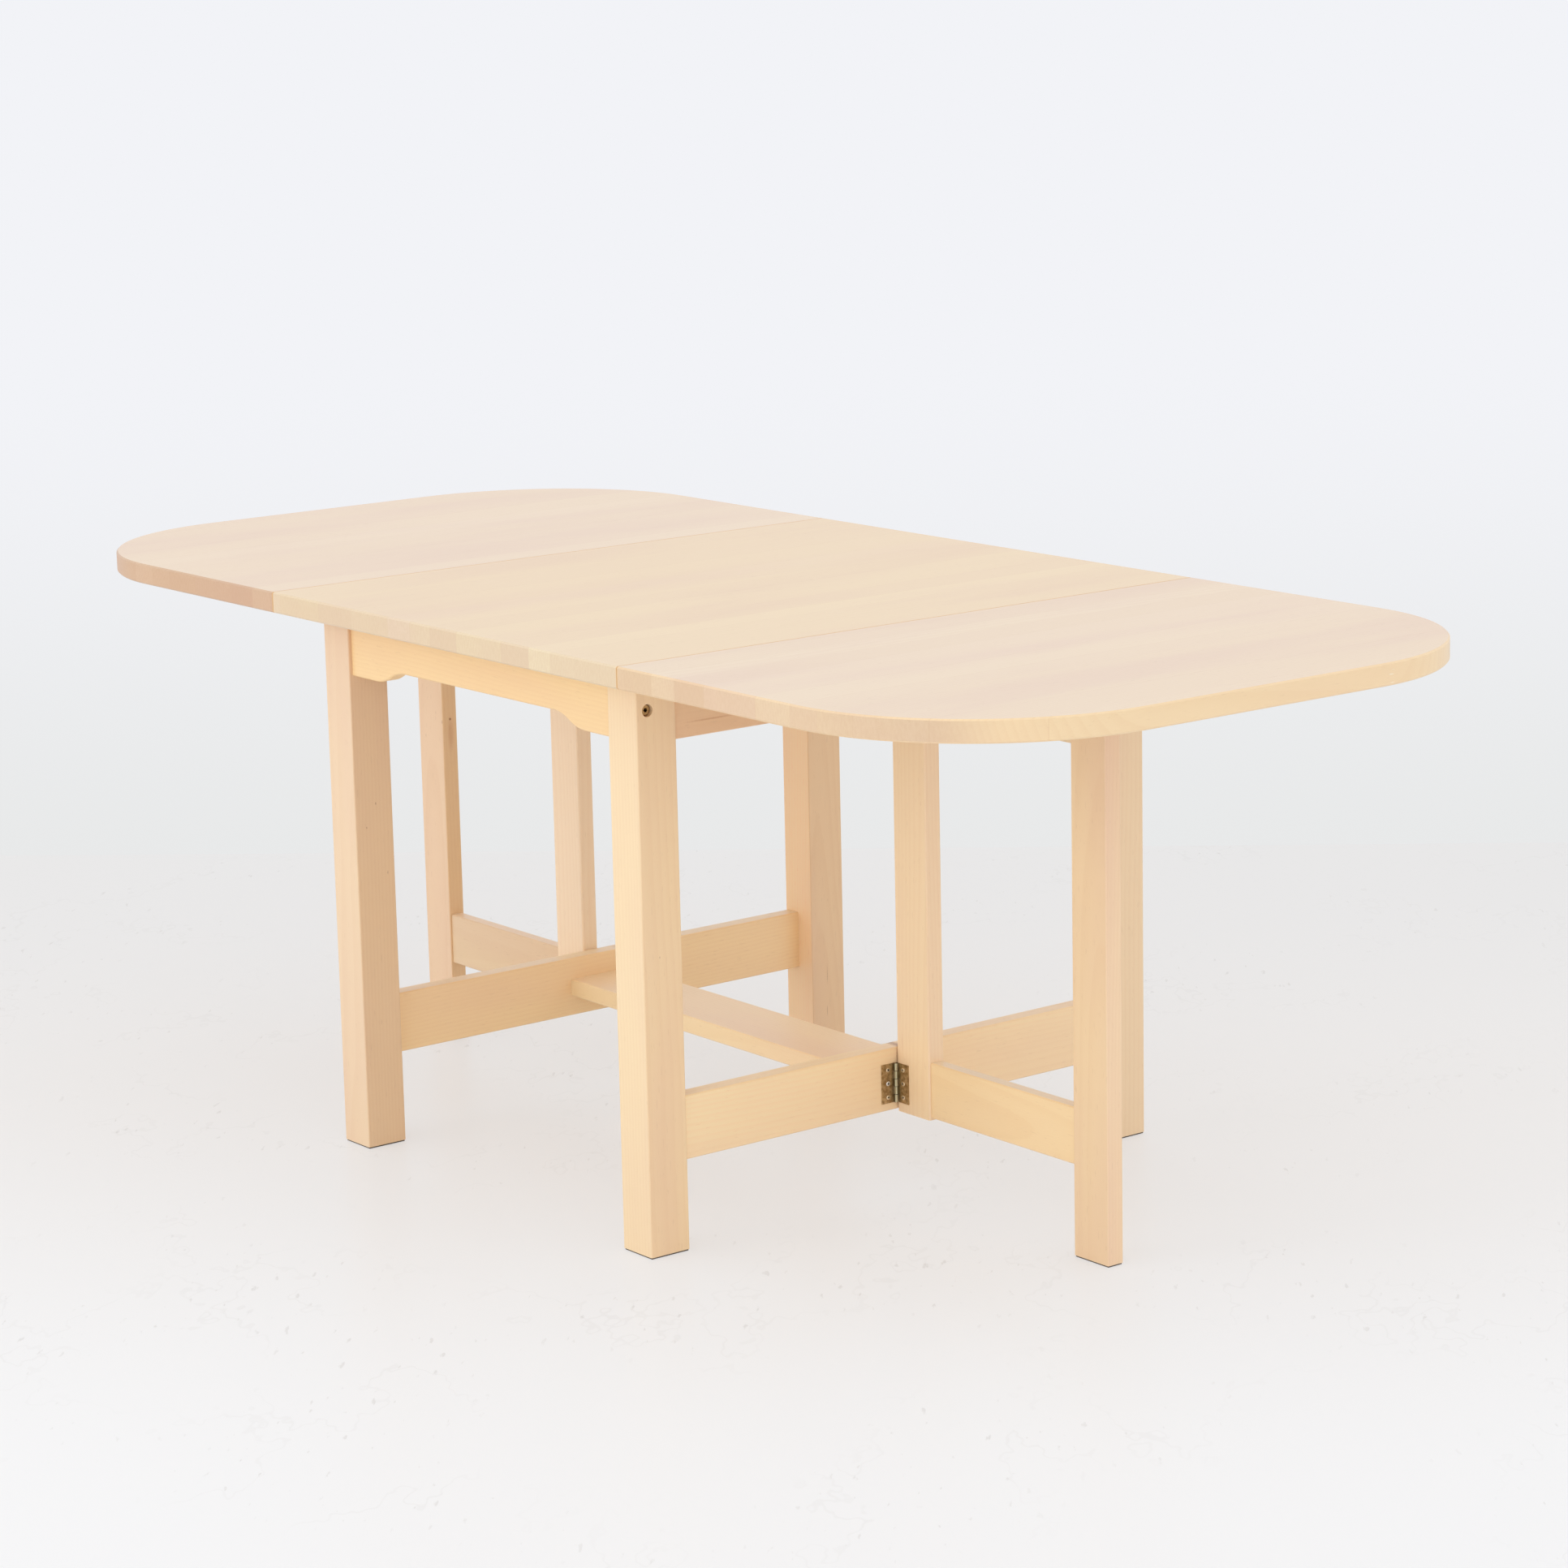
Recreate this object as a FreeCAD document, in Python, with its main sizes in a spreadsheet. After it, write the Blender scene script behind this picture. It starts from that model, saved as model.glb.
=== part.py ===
import FreeCAD, Part

import os
import re

import Sketcher

# A gateleg folding table. X runs along the table, Y across it and Z up, with the origin on the
# floor under the middle of the top. The table looks the same turned half round about Z, so each
# side piece is built for the right or the front, and again, turned, for the left or the back.

SIZES = (
    ("table_height", 730, "floor to the top surface"),
    ("top_thickness", 27, "centre panel and leaves"),
    ("top_width", 900, "all panels, across the table"),
    ("centre_length", 750, "seam to seam"),
    ("leaf_length", 600, "seam to the far end of a leaf"),
    ("leaf_corner", 270, "radius of a leaf's outer corners"),
    ("seam_gap", 0.8, "between the centre panel and a leaf"),
    ("panel_arris", 2, "bevel of the panels' outer edges"),
    ("leg_arris", 2, "rounding of the fixed legs and gate legs"),
    ("rail_arris", 1.5, "bevel of rails, aprons, gate posts, the board and stop blocks"),
    ("frame_clearance", 9, "seam hinges' plates to the fixed legs, along the table"),
    ("frame_overhang", 52, "panels' long edges to the fixed legs"),
    ("leg_size", 57, "side of a square fixed leg"),
    ("foot_pad_thickness", 2, "felt under each leg"),
    ("foot_pad_inset", 1.5, "felt edge behind the leg's face"),
    ("apron_height", 77, "long aprons at their ends"),
    ("apron_thickness", 22, "long aprons"),
    ("apron_inset", 5, "long aprons behind the legs' outer faces"),
    ("arch_rise", 17, "how far a long apron's middle is cut up"),
    ("arch_flat", 161, "half of the raised middle"),
    ("arch_run", 66, "length of each s-curve of the arch"),
    ("cross_height", 79, "cross aprons and lower rails"),
    ("cross_thickness", 24, "cross aprons and lower rails"),
    ("cross_inset", 4, "cross members behind the legs' outer faces"),
    ("rail_bottom", 112, "floor to the lower rails"),
    ("board_width", 99, "stretcher board"),
    ("board_thickness", 23, "stretcher board"),
    ("board_rise", 27, "lower rails' bottom to the stretcher board"),
    ("tenon_thickness", 9, "all tenons"),
    ("tenon_length", 25, "tenons of the cross members"),
    ("tenon_shoulder", 12, "edge of a rail to the edge of its tenon"),
    ("glue_gap", 0.1, "round a tenon, dowel or barrel nut in its hole"),
    ("hole_spare", 1, "depth of a hole beyond what it holds"),
    ("dowel_radius", 4, "wooden dowels"),
    ("dowel_length", 36, "wooden dowels, half in each piece"),
    ("apron_dowel_pitch", 48, "between the dowels beside a frame bolt"),
    ("board_dowel_pitch", 56, "between the dowels at an end of the board"),
    ("bolt_radius", 3, "shank of a frame bolt"),
    ("bolt_length", 88, "frame bolt under its head"),
    ("bolt_head_radius", 6.5, "head of a frame bolt"),
    ("bolt_head_height", 5, "head of a frame bolt"),
    ("bolt_bevel", 0.8, "bevel round the bolt's head"),
    ("bolt_socket_radius", 2.5, "hexagon socket"),
    ("bolt_socket_depth", 3, "hexagon socket"),
    ("bolt_clearance", 0.3, "round a bolt's shank in the wood"),
    ("thread_clearance", 0.1, "round a bolt in its barrel nut"),
    ("counterbore_radius", 7.5, "sunk seat of a frame bolt"),
    ("counterbore_depth", 9, "sunk seat of a frame bolt"),
    ("nut_radius", 5, "barrel nut"),
    ("nut_length", 15, "barrel nut"),
    ("nut_setback", 35, "leg's inner face to a barrel nut"),
    ("bracket_reach", 25, "each arm of a top bracket"),
    ("bracket_width", 16, "top bracket"),
    ("bracket_gauge", 2, "plate of a top bracket"),
    ("bracket_screw_reach", 16, "corner of a top bracket to its screws"),
    ("bracket_long_spread", 200, "middle of the table to a long apron's brackets"),
    ("bracket_cross_spread", 190, "middle of the table to a cross apron's brackets"),
    ("screw_hole_radius", 2, "screw holes in hinge plates and brackets"),
    ("hinge_gauge", 1.2, "hinge plates"),
    ("hinge_offset", 2.8, "hinge pin's axis to the wood"),
    ("knuckle_radius", 2.4, "hinge knuckles, outside"),
    ("knuckle_gap", 0.4, "between neighbouring knuckles"),
    ("pin_radius", 1.1, "hinge pins"),
    ("pin_clearance", 0.08, "round a pin in its knuckles"),
    ("pocket_clearance", 0.3, "round a hinge let into a panel"),
    ("gate_hinge_length", 50, "gate hinge, along its pin"),
    ("gate_hinge_plate", 21.5, "gate hinge's axis to a plate's edge"),
    ("gate_hinge_reach", 11.5, "gate hinge's axis to its screws"),
    ("gate_hinge_pitch", 17.5, "between a gate hinge's screws"),
    ("lower_hinge_rise", 35, "lower rails' bottom to a hinge's middle"),
    ("upper_hinge_drop", 41, "panel's underside to a hinge's middle"),
    ("seam_hinge_length", 60, "seam hinge, along its pin"),
    ("seam_hinge_plate", 27, "seam hinge's axis to a plate's edge"),
    ("seam_hinge_reach", 16.5, "seam hinge's axis to its screws"),
    ("seam_hinge_pitch", 21, "between a seam hinge's screws"),
    ("seam_hinge_clearance", 27, "outer seam hinges to a folded gate's leg"),
    ("gate_setback", 14, "middle of the table to the gate's hinged face"),
    ("gate_gap", 2, "cross members to the gate's post"),
    ("gate_thickness", 24, "gate post and gate leg"),
    ("gate_post_width", 61.5, "gate post"),
    ("gate_post_bottom", 110, "floor to the gate post"),
    ("gate_headroom", 9, "panel's underside to the gate's post and rail"),
    ("gate_leg_width", 60, "gate leg"),
    ("gate_leg_start", 325.2, "gate hinge's axis to the gate leg"),
    ("gate_leg_gap", 0.3, "gate leg's top to the leaf that it holds up"),
    ("gate_rail_thickness", 18, "gate rails"),
    ("gate_lower_bottom", 112.5, "floor to the gate's lower rail"),
    ("gate_lower_height", 70.5, "gate's lower rail"),
    ("gate_upper_height", 74, "gate's upper rail"),
    ("gate_tenon_length", 22, "tenons of the gate rails"),
    ("stop_length", 60, "stop block, along the table"),
    ("stop_width", 20, "stop block, across the table"),
    ("stop_depth", 14, "stop block, down from the leaf"),
    ("stop_gap", 0.3, "gate leg to its stop block"),
)

# Places worked out from the driving dimensions, as expressions for the document.
UNDER_TOP = "(table_height - top_thickness)"
HALF_WIDTH = "(top_width / 2)"
SEAM = "(centre_length / 2)"
LEG_OUT_X = f"({SEAM} - seam_hinge_plate - frame_clearance)"
LEG_IN_X = f"({LEG_OUT_X} - leg_size)"
LEG_OUT_Y = f"({HALF_WIDTH} - frame_overhang)"
LEG_IN_Y = f"({LEG_OUT_Y} - leg_size)"
CROSS_OUT = f"({LEG_OUT_X} - cross_inset)"
CROSS_MID = f"({CROSS_OUT} - cross_thickness / 2)"
CROSS_IN = f"({CROSS_OUT} - cross_thickness)"
APRON_OUT = f"({LEG_OUT_Y} - apron_inset)"
APRON_MID = f"({APRON_OUT} - apron_thickness / 2)"
APRON_IN = f"({APRON_OUT} - apron_thickness)"
APRON_BOTTOM = f"({UNDER_TOP} - apron_height)"
BOLT_Z = f"({UNDER_TOP} - apron_height / 2)"
APRON_DOWELS = (f"({BOLT_Z} - apron_dowel_pitch / 2)", f"({BOLT_Z} + apron_dowel_pitch / 2)")
NUT_X = f"({LEG_IN_X} - nut_setback)"
BOLT_SEAT = f"({LEG_OUT_X} - counterbore_depth)"
CROSS_BOTTOM = f"({UNDER_TOP} - cross_height)"
RAIL_TOP = "(rail_bottom + cross_height)"
BOARD_BOTTOM = "(rail_bottom + board_rise)"
BOARD_TOP = "(rail_bottom + board_rise + board_thickness)"
BOARD_MID = "(rail_bottom + board_rise + board_thickness / 2)"
BOARD_DOWELS = ("(-board_dowel_pitch / 2)", "(board_dowel_pitch / 2)")
POCKET_TOP = f"({UNDER_TOP} + hinge_gauge)"
SEAM_AXIS_Z = f"({UNDER_TOP} + hinge_gauge - hinge_offset)"
GATE_AXIS_X = f"({CROSS_OUT} + hinge_offset)"
GATE_AXIS_Y = "(-gate_setback - hinge_offset)"
GATE_FRONT = "(-gate_setback)"
GATE_BACK = "(gate_thickness - gate_setback)"
GATE_MID = "(gate_thickness / 2 - gate_setback)"
SEAM_SPREAD = f"(gate_leg_start - ({GATE_AXIS_Y}) - seam_hinge_clearance - seam_hinge_length / 2)"
SEAM_HINGES = (f"(-{SEAM_SPREAD})", "0", SEAM_SPREAD)
POST_IN = f"({CROSS_OUT} + gate_gap)"
POST_OUT = f"({CROSS_OUT} + gate_gap + gate_post_width)"
GATE_LEG_IN = f"({GATE_AXIS_X} + gate_leg_start)"
GATE_LEG_MID = f"({GATE_LEG_IN} + gate_leg_width / 2)"
GATE_LEG_OUT = f"({GATE_LEG_IN} + gate_leg_width)"
GATE_TOP = f"({UNDER_TOP} - gate_headroom)"
LOWER_HINGE_Z = "(rail_bottom + lower_hinge_rise)"
UPPER_HINGE_Z = f"({UNDER_TOP} - upper_hinge_drop)"
GATE_LOWER_RAIL = ("gate_lower_bottom", "(gate_lower_bottom + gate_lower_height)")
GATE_UPPER_RAIL = (f"({GATE_TOP} - gate_upper_height)", GATE_TOP)
STOP_NEAR = f"({GATE_BACK} + stop_gap)"
STOP_FAR = f"({GATE_BACK} + stop_gap + stop_width)"
STOP_BOTTOM = f"({UNDER_TOP} - stop_depth)"
DOWEL_HOLE = "dowel_radius + glue_gap"
DOWEL_DEPTH = "(dowel_length + hole_spare) / 2"

# Round pieces that repeat are regular prisms, which keeps the model light. Their radii are to
# the middle of a side, so a peg and its hole with as many sides keep their clearance all round.
SEAT_SIDES = 16
KNUCKLE_SIDES = 10
PEG_SIDES = 8
SOCKET_SIDES = 6
GATE_KNUCKLES = 5
SEAM_KNUCKLES = 3

PLANES = {"x": "YZ_Plane", "y": "XZ_Plane", "z": "XY_Plane"}
NORMALS = {"YZ_Plane": 1, "XZ_Plane": -1, "XY_Plane": 1}
ORIGIN = FreeCAD.Vector()
UP = FreeCAD.Vector(0, 0, 1)
STRAIGHT = FreeCAD.Rotation()
HALF_TURN = FreeCAD.Rotation(UP, 180)
SIDES = (("right", False), ("left", True))

DOC = FreeCAD.newDocument("gateleg_table")
SHEET = DOC.addObject("Spreadsheet::Sheet", "Sizes")
for row, (alias, size, meaning) in enumerate(SIZES, start=1):
    SHEET.set(f"A{row}", meaning)
    SHEET.set(f"B{row}", str(size))
    SHEET.setAlias(f"B{row}", alias)
DOC.recompute()
ALIASES = {alias for alias, size, meaning in SIZES}
NODES = []


def bind(text):
    """The expression with every size read from the sheet."""
    def from_sheet(word):
        return "Sizes." + word.group() if word.group() in ALIASES else word.group()
    return re.sub("[a-z_]+", from_sheet, text)


def value(text):
    """The number that an expression gives."""
    return float(SHEET.evalExpression(text))


def around(middle, half):
    """The two bounds at half a width either side of a middle."""
    return f"({middle} - {half})", f"({middle} + {half})"


def mirrored(place):
    """The same distance on the other side of the origin."""
    return f"(-{place})"


# ---------------------------------------------------------------- how a piece is built

class Piece:
    """A body whose sketches and features are bound to the sheet."""

    def __init__(self, label, turned=False):
        self.body = DOC.addObject("PartDesign::Body", label)
        self.body.Label = label
        if turned:
            self.body.Placement = FreeCAD.Placement(ORIGIN, HALF_TURN)

    def sketch(self, normal, at):
        """A new sketch across one axis, at a place along it."""
        planes = self.body.Origin.OriginFeatures
        plane = next(item for item in planes if item.Role == PLANES[normal])
        result = self.body.newObject("Sketcher::SketchObject", f"{self.body.Label}_sketch")
        result.AttachmentSupport = [(plane, "")]
        result.MapMode = "FlatFace"
        result.setExpression(".AttachmentOffset.Base.z", bind(f"{NORMALS[plane.Role]} * ({at})"))
        return result

    def fix(self, sketch, kind, *place, to):
        """Add a dimension to a sketch and bind it."""
        index = sketch.addConstraint(Sketcher.Constraint(kind, *place, value(to)))
        sketch.setExpression(f"Constraints[{index}]", bind(to))

    def fix_point(self, sketch, side, tip, across, along):
        """Bind both coordinates of a point of a sketch."""
        self.fix(sketch, "DistanceX", -1, 1, side, tip, to=across)
        self.fix(sketch, "DistanceY", -1, 1, side, tip, to=along)

    def rectangle(self, sketch, across, along):
        """Draw a rectangle between two bounds each way."""
        (left, right), (low, high) = across, along
        starts = self.loop(sketch, [(left, low), (right, low), (right, high), (left, high)])
        for (index, tip), kind in zip(starts, ("Horizontal", "Vertical") * 2):
            sketch.addConstraint(Sketcher.Constraint(kind, index))
        self.fix_point(sketch, *starts[0], left, low)
        self.fix_point(sketch, *starts[2], right, high)

    def outline(self, sketch, corners, arcs=None):
        """Draw a closed loop. arcs gives, by a side's number, its centre and radius."""
        starts = self.loop(sketch, corners, arcs)
        for (index, tip), (across, along) in zip(starts, corners):
            self.fix_point(sketch, index, tip, across, along)
        for side, (centre, radius) in (arcs or {}).items():
            self.fix(sketch, "Radius", starts[side][0], to=radius)

    def loop(self, sketch, corners, arcs=None):
        """Draw the sides of a loop and join them. Returns each side's number and its first end."""
        points = [FreeCAD.Vector(value(across), value(along), 0) for across, along in corners]
        starts = []
        for side, start in enumerate(points):
            end = points[(side + 1) % len(points)]
            index = sketch.addGeometry(self.side(start, end, (arcs or {}).get(side)), False)
            forward = (sketch.getPoint(index, 1) - start).Length < (sketch.getPoint(index, 2) - start).Length
            starts.append((index, 1 if forward else 2))
        for (index, tip), (after, after_tip) in zip(starts, starts[1:] + starts[:1]):
            sketch.addConstraint(Sketcher.Constraint("Coincident", index, 3 - tip, after, after_tip))
        return starts

    def side(self, start, end, arc):
        """A straight side, or the shorter arc about a centre."""
        if arc is None:
            return Part.LineSegment(start, end)
        (across, along), radius = arc
        centre = FreeCAD.Vector(value(across), value(along), 0)
        middle = ((start + end) / 2 - centre).normalize() * value(radius)
        return Part.Arc(start, centre + middle, end)

    def polygons(self, sketch, centres, radius, sides):
        """Draw regular polygons with a side square to each axis."""
        reach = f"({radius}) / cos({180 / sides} * 1deg)"
        turns = [360 * (corner + 0.5) / sides for corner in range(sides)]
        for across, along in centres:
            self.outline(sketch, [(f"({across} + {reach} * cos({turn} * 1deg))",
                                   f"({along} + {reach} * sin({turn} * 1deg))") for turn in turns])

    def feature(self, kind, sketch, length, toward):
        """Pad or pocket a sketch, and make sure that the volume changed the right way.

        toward is 1 or -1 along the sketch's axis, or 0 for half each way.
        """
        before = self.body.Shape.Volume if self.body.Tip else 0
        result = self.body.newObject(f"PartDesign::{kind}", f"{self.body.Label}_{kind.lower()}")
        result.Profile = sketch
        result.setExpression("Length", bind(length))
        gain = 1 if kind == "Pad" else -1
        if toward == 0:
            result.Midplane = True
        else:
            result.Reversed = toward * gain * NORMALS[sketch.AttachmentSupport[0][0].Role] < 0
        sketch.Visibility = False
        DOC.recompute()
        if (self.body.Shape.Volume - before) * gain <= 0:
            raise ValueError(f"{result.Label} changed nothing")

    def block(self, x, y, z):
        """Add a block between bounds on all three axes."""
        sketch = self.sketch("z", z[0])
        self.rectangle(sketch, x, y)
        self.feature("Pad", sketch, f"{z[1]} - {z[0]}", 1)

    def recess(self, x, y, z):
        """Take a block away."""
        sketch = self.sketch("z", z[0])
        self.rectangle(sketch, x, y)
        self.feature("Pocket", sketch, f"{z[1]} - {z[0]}", 1)

    def bar(self, normal, at, toward, radius, length, sides):
        """Add a bar about an axis through the origin."""
        sketch = self.sketch(normal, at)
        self.polygons(sketch, [("0", "0")], radius, sides)
        self.feature("Pad", sketch, length, toward)

    def holes(self, normal, at, toward, centres, radius, depth, sides=PEG_SIDES):
        """Take holes, from a place along an axis."""
        sketch = self.sketch(normal, at)
        self.polygons(sketch, centres, radius, sides)
        self.feature("Pocket", sketch, depth, toward)

    def soften(self, size, wanted, kind="Chamfer"):
        """Bevel, or with kind Fillet round, the edges whose two ends pass a test."""
        tip = self.body.Tip
        before = self.body.Shape.Volume
        names = []
        for number, edge in enumerate(tip.Shape.Edges, start=1):
            if wanted(edge.valueAt(edge.FirstParameter), edge.valueAt(edge.LastParameter)):
                names.append(f"Edge{number}")
        result = self.body.newObject(f"PartDesign::{kind}", f"{self.body.Label}_arris")
        result.Base = (tip, names)
        result.setExpression("Radius" if kind == "Fillet" else "Size", bind(size))
        tip.Visibility = False
        DOC.recompute()
        if not names or self.body.Shape.Volume >= before:
            raise ValueError(f"{result.Label} softened nothing")

    def keep(self):
        """Make this piece a node of the table."""
        NODES.append(self.body)


def along_axis(axis):
    """A test for long edges that run along one axis."""
    def wanted(start, end):
        step = end - start
        reach = abs(getattr(step, axis))
        return reach > value("leg_size") and reach > 0.999 * step.Length
    return wanted


def copy_of(master, place, rotation=STRAIGHT, turned=False):
    """A copy of a master piece, its place bound to the sheet."""
    link = DOC.addObject("App::Link", f"{master.Label}_copy")
    link.setLink(master)
    link.Placement = FreeCAD.Placement(ORIGIN, HALF_TURN * rotation if turned else rotation)
    x, y, z = place
    for axis, where in (("x", x), ("y", y), ("z", z)):
        sign = -1 if turned and axis != "z" else 1
        link.setExpression(f".Placement.Base.{axis}", bind(f"{sign} * ({where})"))
    return link


def group(label, copies):
    """One node of identical loose pieces."""
    result = DOC.addObject("Part::Compound", label)
    result.Label = label
    result.Links = copies
    NODES.append(result)


def facing(x, y, z):
    """The rotation that points a bolt's head or a dowel's end a way."""
    return FreeCAD.Rotation(UP, FreeCAD.Vector(x, y, z))


def frame_of(x_to, y_to, z_to):
    """The rotation that takes the local axes to three directions."""
    return FreeCAD.Rotation(FreeCAD.Vector(*x_to), FreeCAD.Vector(*y_to), FreeCAD.Vector(*z_to))


# ---------------------------------------------------------------- bolts, pins and brackets

def frame_bolt():
    """A furniture bolt with a hexagon socket; the seat under its head is at height 0."""
    piece = Piece("frame_bolt")
    piece.bar("z", "0", 1, "bolt_head_radius", "bolt_head_height", SEAT_SIDES)
    top = value("bolt_head_height")
    piece.soften("bolt_bevel", lambda start, stop: min(start.z, stop.z) > top - 0.01)
    piece.bar("z", "0", -1, "bolt_radius", "bolt_length", PEG_SIDES)
    piece.holes("z", "bolt_head_height", -1, [("0", "0")], "bolt_socket_radius", "bolt_socket_depth",
                SOCKET_SIDES)
    return piece.body


def barrel_nut():
    """A nut that lies across the apron, with the bolt's hole through it along X."""
    piece = Piece("barrel_nut")
    piece.bar("y", "0", 0, "nut_radius", "nut_length", KNUCKLE_SIDES)
    piece.holes("x", "(-nut_radius)", 1, [("0", "0")], "bolt_radius + thread_clearance", "2 * nut_radius")
    return piece.body


def dowel_peg():
    """A fluted dowel with its lower end at height 0."""
    piece = Piece("dowel")
    piece.bar("z", "0", 1, "dowel_radius", "dowel_length", PEG_SIDES)
    return piece.body


def hinge_pin(label, length):
    """A round pin with its lower end at height 0."""
    pin = DOC.addObject("Part::Cylinder", label)
    pin.Label = label
    pin.setExpression("Radius", bind("pin_radius"))
    pin.setExpression("Height", bind(length))
    return pin


def top_bracket():
    """An angle bracket: one arm down the apron at X 0, one arm under the top at Z 0."""
    piece = Piece("top_bracket")
    sketch = piece.sketch("y", "(-bracket_width / 2)")
    piece.outline(sketch, [("0", "0"), ("0", "(-bracket_reach)"),
                           ("bracket_gauge", "(-bracket_reach)"), ("bracket_gauge", "(-bracket_gauge)"),
                           ("bracket_reach", "(-bracket_gauge)"), ("bracket_reach", "0")])
    piece.feature("Pad", sketch, "bracket_width", 1)
    down, along = [("0", "(-bracket_screw_reach)")], [("bracket_screw_reach", "0")]
    piece.holes("x", "bracket_gauge", -1, down, "screw_hole_radius", "bracket_gauge")
    piece.holes("z", "(-bracket_gauge)", 1, along, "screw_hole_radius", "bracket_gauge")
    return piece.body


# ---------------------------------------------------------------- hinges

def hinge_leaf(label, kind, knuckles, first):
    """Half of a butt hinge: its pin's axis is Z, its plate runs along X and lies towards Y.

    kind is the start of its sizes' names, and first is 0 or 1: its lowest knuckle.
    """
    piece = Piece(label)
    length, plate = f"{kind}_hinge_length", f"{kind}_hinge_plate"
    bottom = f"(-{length} / 2)"
    piece.block(("0", plate), ("(hinge_offset - hinge_gauge)", "hinge_offset"),
                (bottom, f"({length} / 2)"))
    piece.bar("z", bottom, 1, "knuckle_radius", length, KNUCKLE_SIDES)
    piece.holes("z", bottom, 1, [("0", "0")], "pin_radius + pin_clearance", length, KNUCKLE_SIDES)
    reach = "(knuckle_radius + knuckle_gap)"
    for knuckle in range(1 - first, knuckles, 2):
        low = f"({bottom} + {knuckle} * {length} / {knuckles} - knuckle_gap / 2)"
        high = f"({bottom} + {knuckle + 1} * {length} / {knuckles} + knuckle_gap / 2)"
        piece.recess(around("0", reach), around("0", reach), (low, high))
    centres = [(f"{kind}_hinge_reach", f"({step} * {kind}_hinge_pitch)") for step in (-1, 0, 1)]
    piece.holes("y", "(hinge_offset - hinge_gauge)", 1, centres, "screw_hole_radius", "hinge_gauge")
    return piece.body


def gate_hinges():
    """The hinges that the gates swing on, two a side: half on the frame, half on the gate."""
    fixed = hinge_leaf("gate_hinge_outer", "gate", GATE_KNUCKLES, 0)
    moving = hinge_leaf("gate_hinge_inner", "gate", GATE_KNUCKLES, 1)
    pin = hinge_pin("gate_hinge_pin", "gate_hinge_length")
    on_frame = frame_of((0, -1, 0), (-1, 0, 0), (0, 0, -1))
    heights = (LOWER_HINGE_Z, UPPER_HINGE_Z)
    plates, pins = [], []
    for side, turned in SIDES:
        for height in heights:
            plates.append(copy_of(fixed, (GATE_AXIS_X, GATE_AXIS_Y, height), on_frame, turned))
            foot = (GATE_AXIS_X, GATE_AXIS_Y, f"({height} - gate_hinge_length / 2)")
            pins.append(copy_of(pin, foot, STRAIGHT, turned))
        group(f"gate_{side}_hinge_plates",
              [copy_of(moving, (GATE_AXIS_X, GATE_AXIS_Y, height), STRAIGHT, turned) for height in heights])
    group("gate_hinge_frame_plates", plates)
    group("gate_hinge_pins", pins)


def seam_hinges():
    """The hinges under the two seams, three a side: half on the centre panel, half on the leaf."""
    fixed = hinge_leaf("seam_hinge_outer", "seam", SEAM_KNUCKLES, 0)
    moving = hinge_leaf("seam_hinge_inner", "seam", SEAM_KNUCKLES, 1)
    pin = hinge_pin("seam_hinge_pin", "seam_hinge_length")
    to_centre = frame_of((-1, 0, 0), (0, 0, 1), (0, 1, 0))
    to_leaf = frame_of((1, 0, 0), (0, 0, 1), (0, -1, 0))
    plates, pins = [], []
    for side, turned in SIDES:
        for middle in SEAM_HINGES:
            plates.append(copy_of(fixed, (SEAM, middle, SEAM_AXIS_Z), to_centre, turned))
            foot = (SEAM, f"({middle} + seam_hinge_length / 2)", SEAM_AXIS_Z)
            pins.append(copy_of(pin, foot, to_leaf, turned))
        group(f"leaf_{side}_hinge_plates",
              [copy_of(moving, (SEAM, middle, SEAM_AXIS_Z), to_leaf, turned) for middle in SEAM_HINGES])
    group("seam_hinge_centre_plates", plates)
    group("seam_hinge_pins", pins)


def let_in_hinges(piece, edge, far):
    """Recess the underside of a panel for one seam's hinges."""
    half = "(seam_hinge_length / 2 + pocket_clearance)"
    bounds = (edge, far) if value(edge) < value(far) else (far, edge)
    for middle in SEAM_HINGES:
        piece.recess(bounds, around(middle, half), (UNDER_TOP, POCKET_TOP))


# ---------------------------------------------------------------- the top

def bracket_places():
    """Each top bracket's corner, and the way it faces as steps along X and Y."""
    for spread in ("bracket_long_spread", "(-bracket_long_spread)"):
        yield spread, mirrored(APRON_IN), 0, 1
        yield spread, APRON_IN, 0, -1
    for spread in ("bracket_cross_spread", "(-bracket_cross_spread)"):
        yield CROSS_IN, spread, -1, 0
        yield mirrored(CROSS_IN), spread, 1, 0


def centre_panel():
    """The fixed middle of the top."""
    piece = Piece("top_centre")
    edge = f"({SEAM} - seam_gap / 2)"
    piece.block((mirrored(edge), edge), (mirrored(HALF_WIDTH), HALF_WIDTH), (UNDER_TOP, "table_height"))
    piece.soften("panel_arris", along_axis("x"))
    far = f"({SEAM} - seam_hinge_plate - pocket_clearance)"
    let_in_hinges(piece, edge, far)
    let_in_hinges(piece, mirrored(edge), mirrored(far))
    piece.keep()


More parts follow.
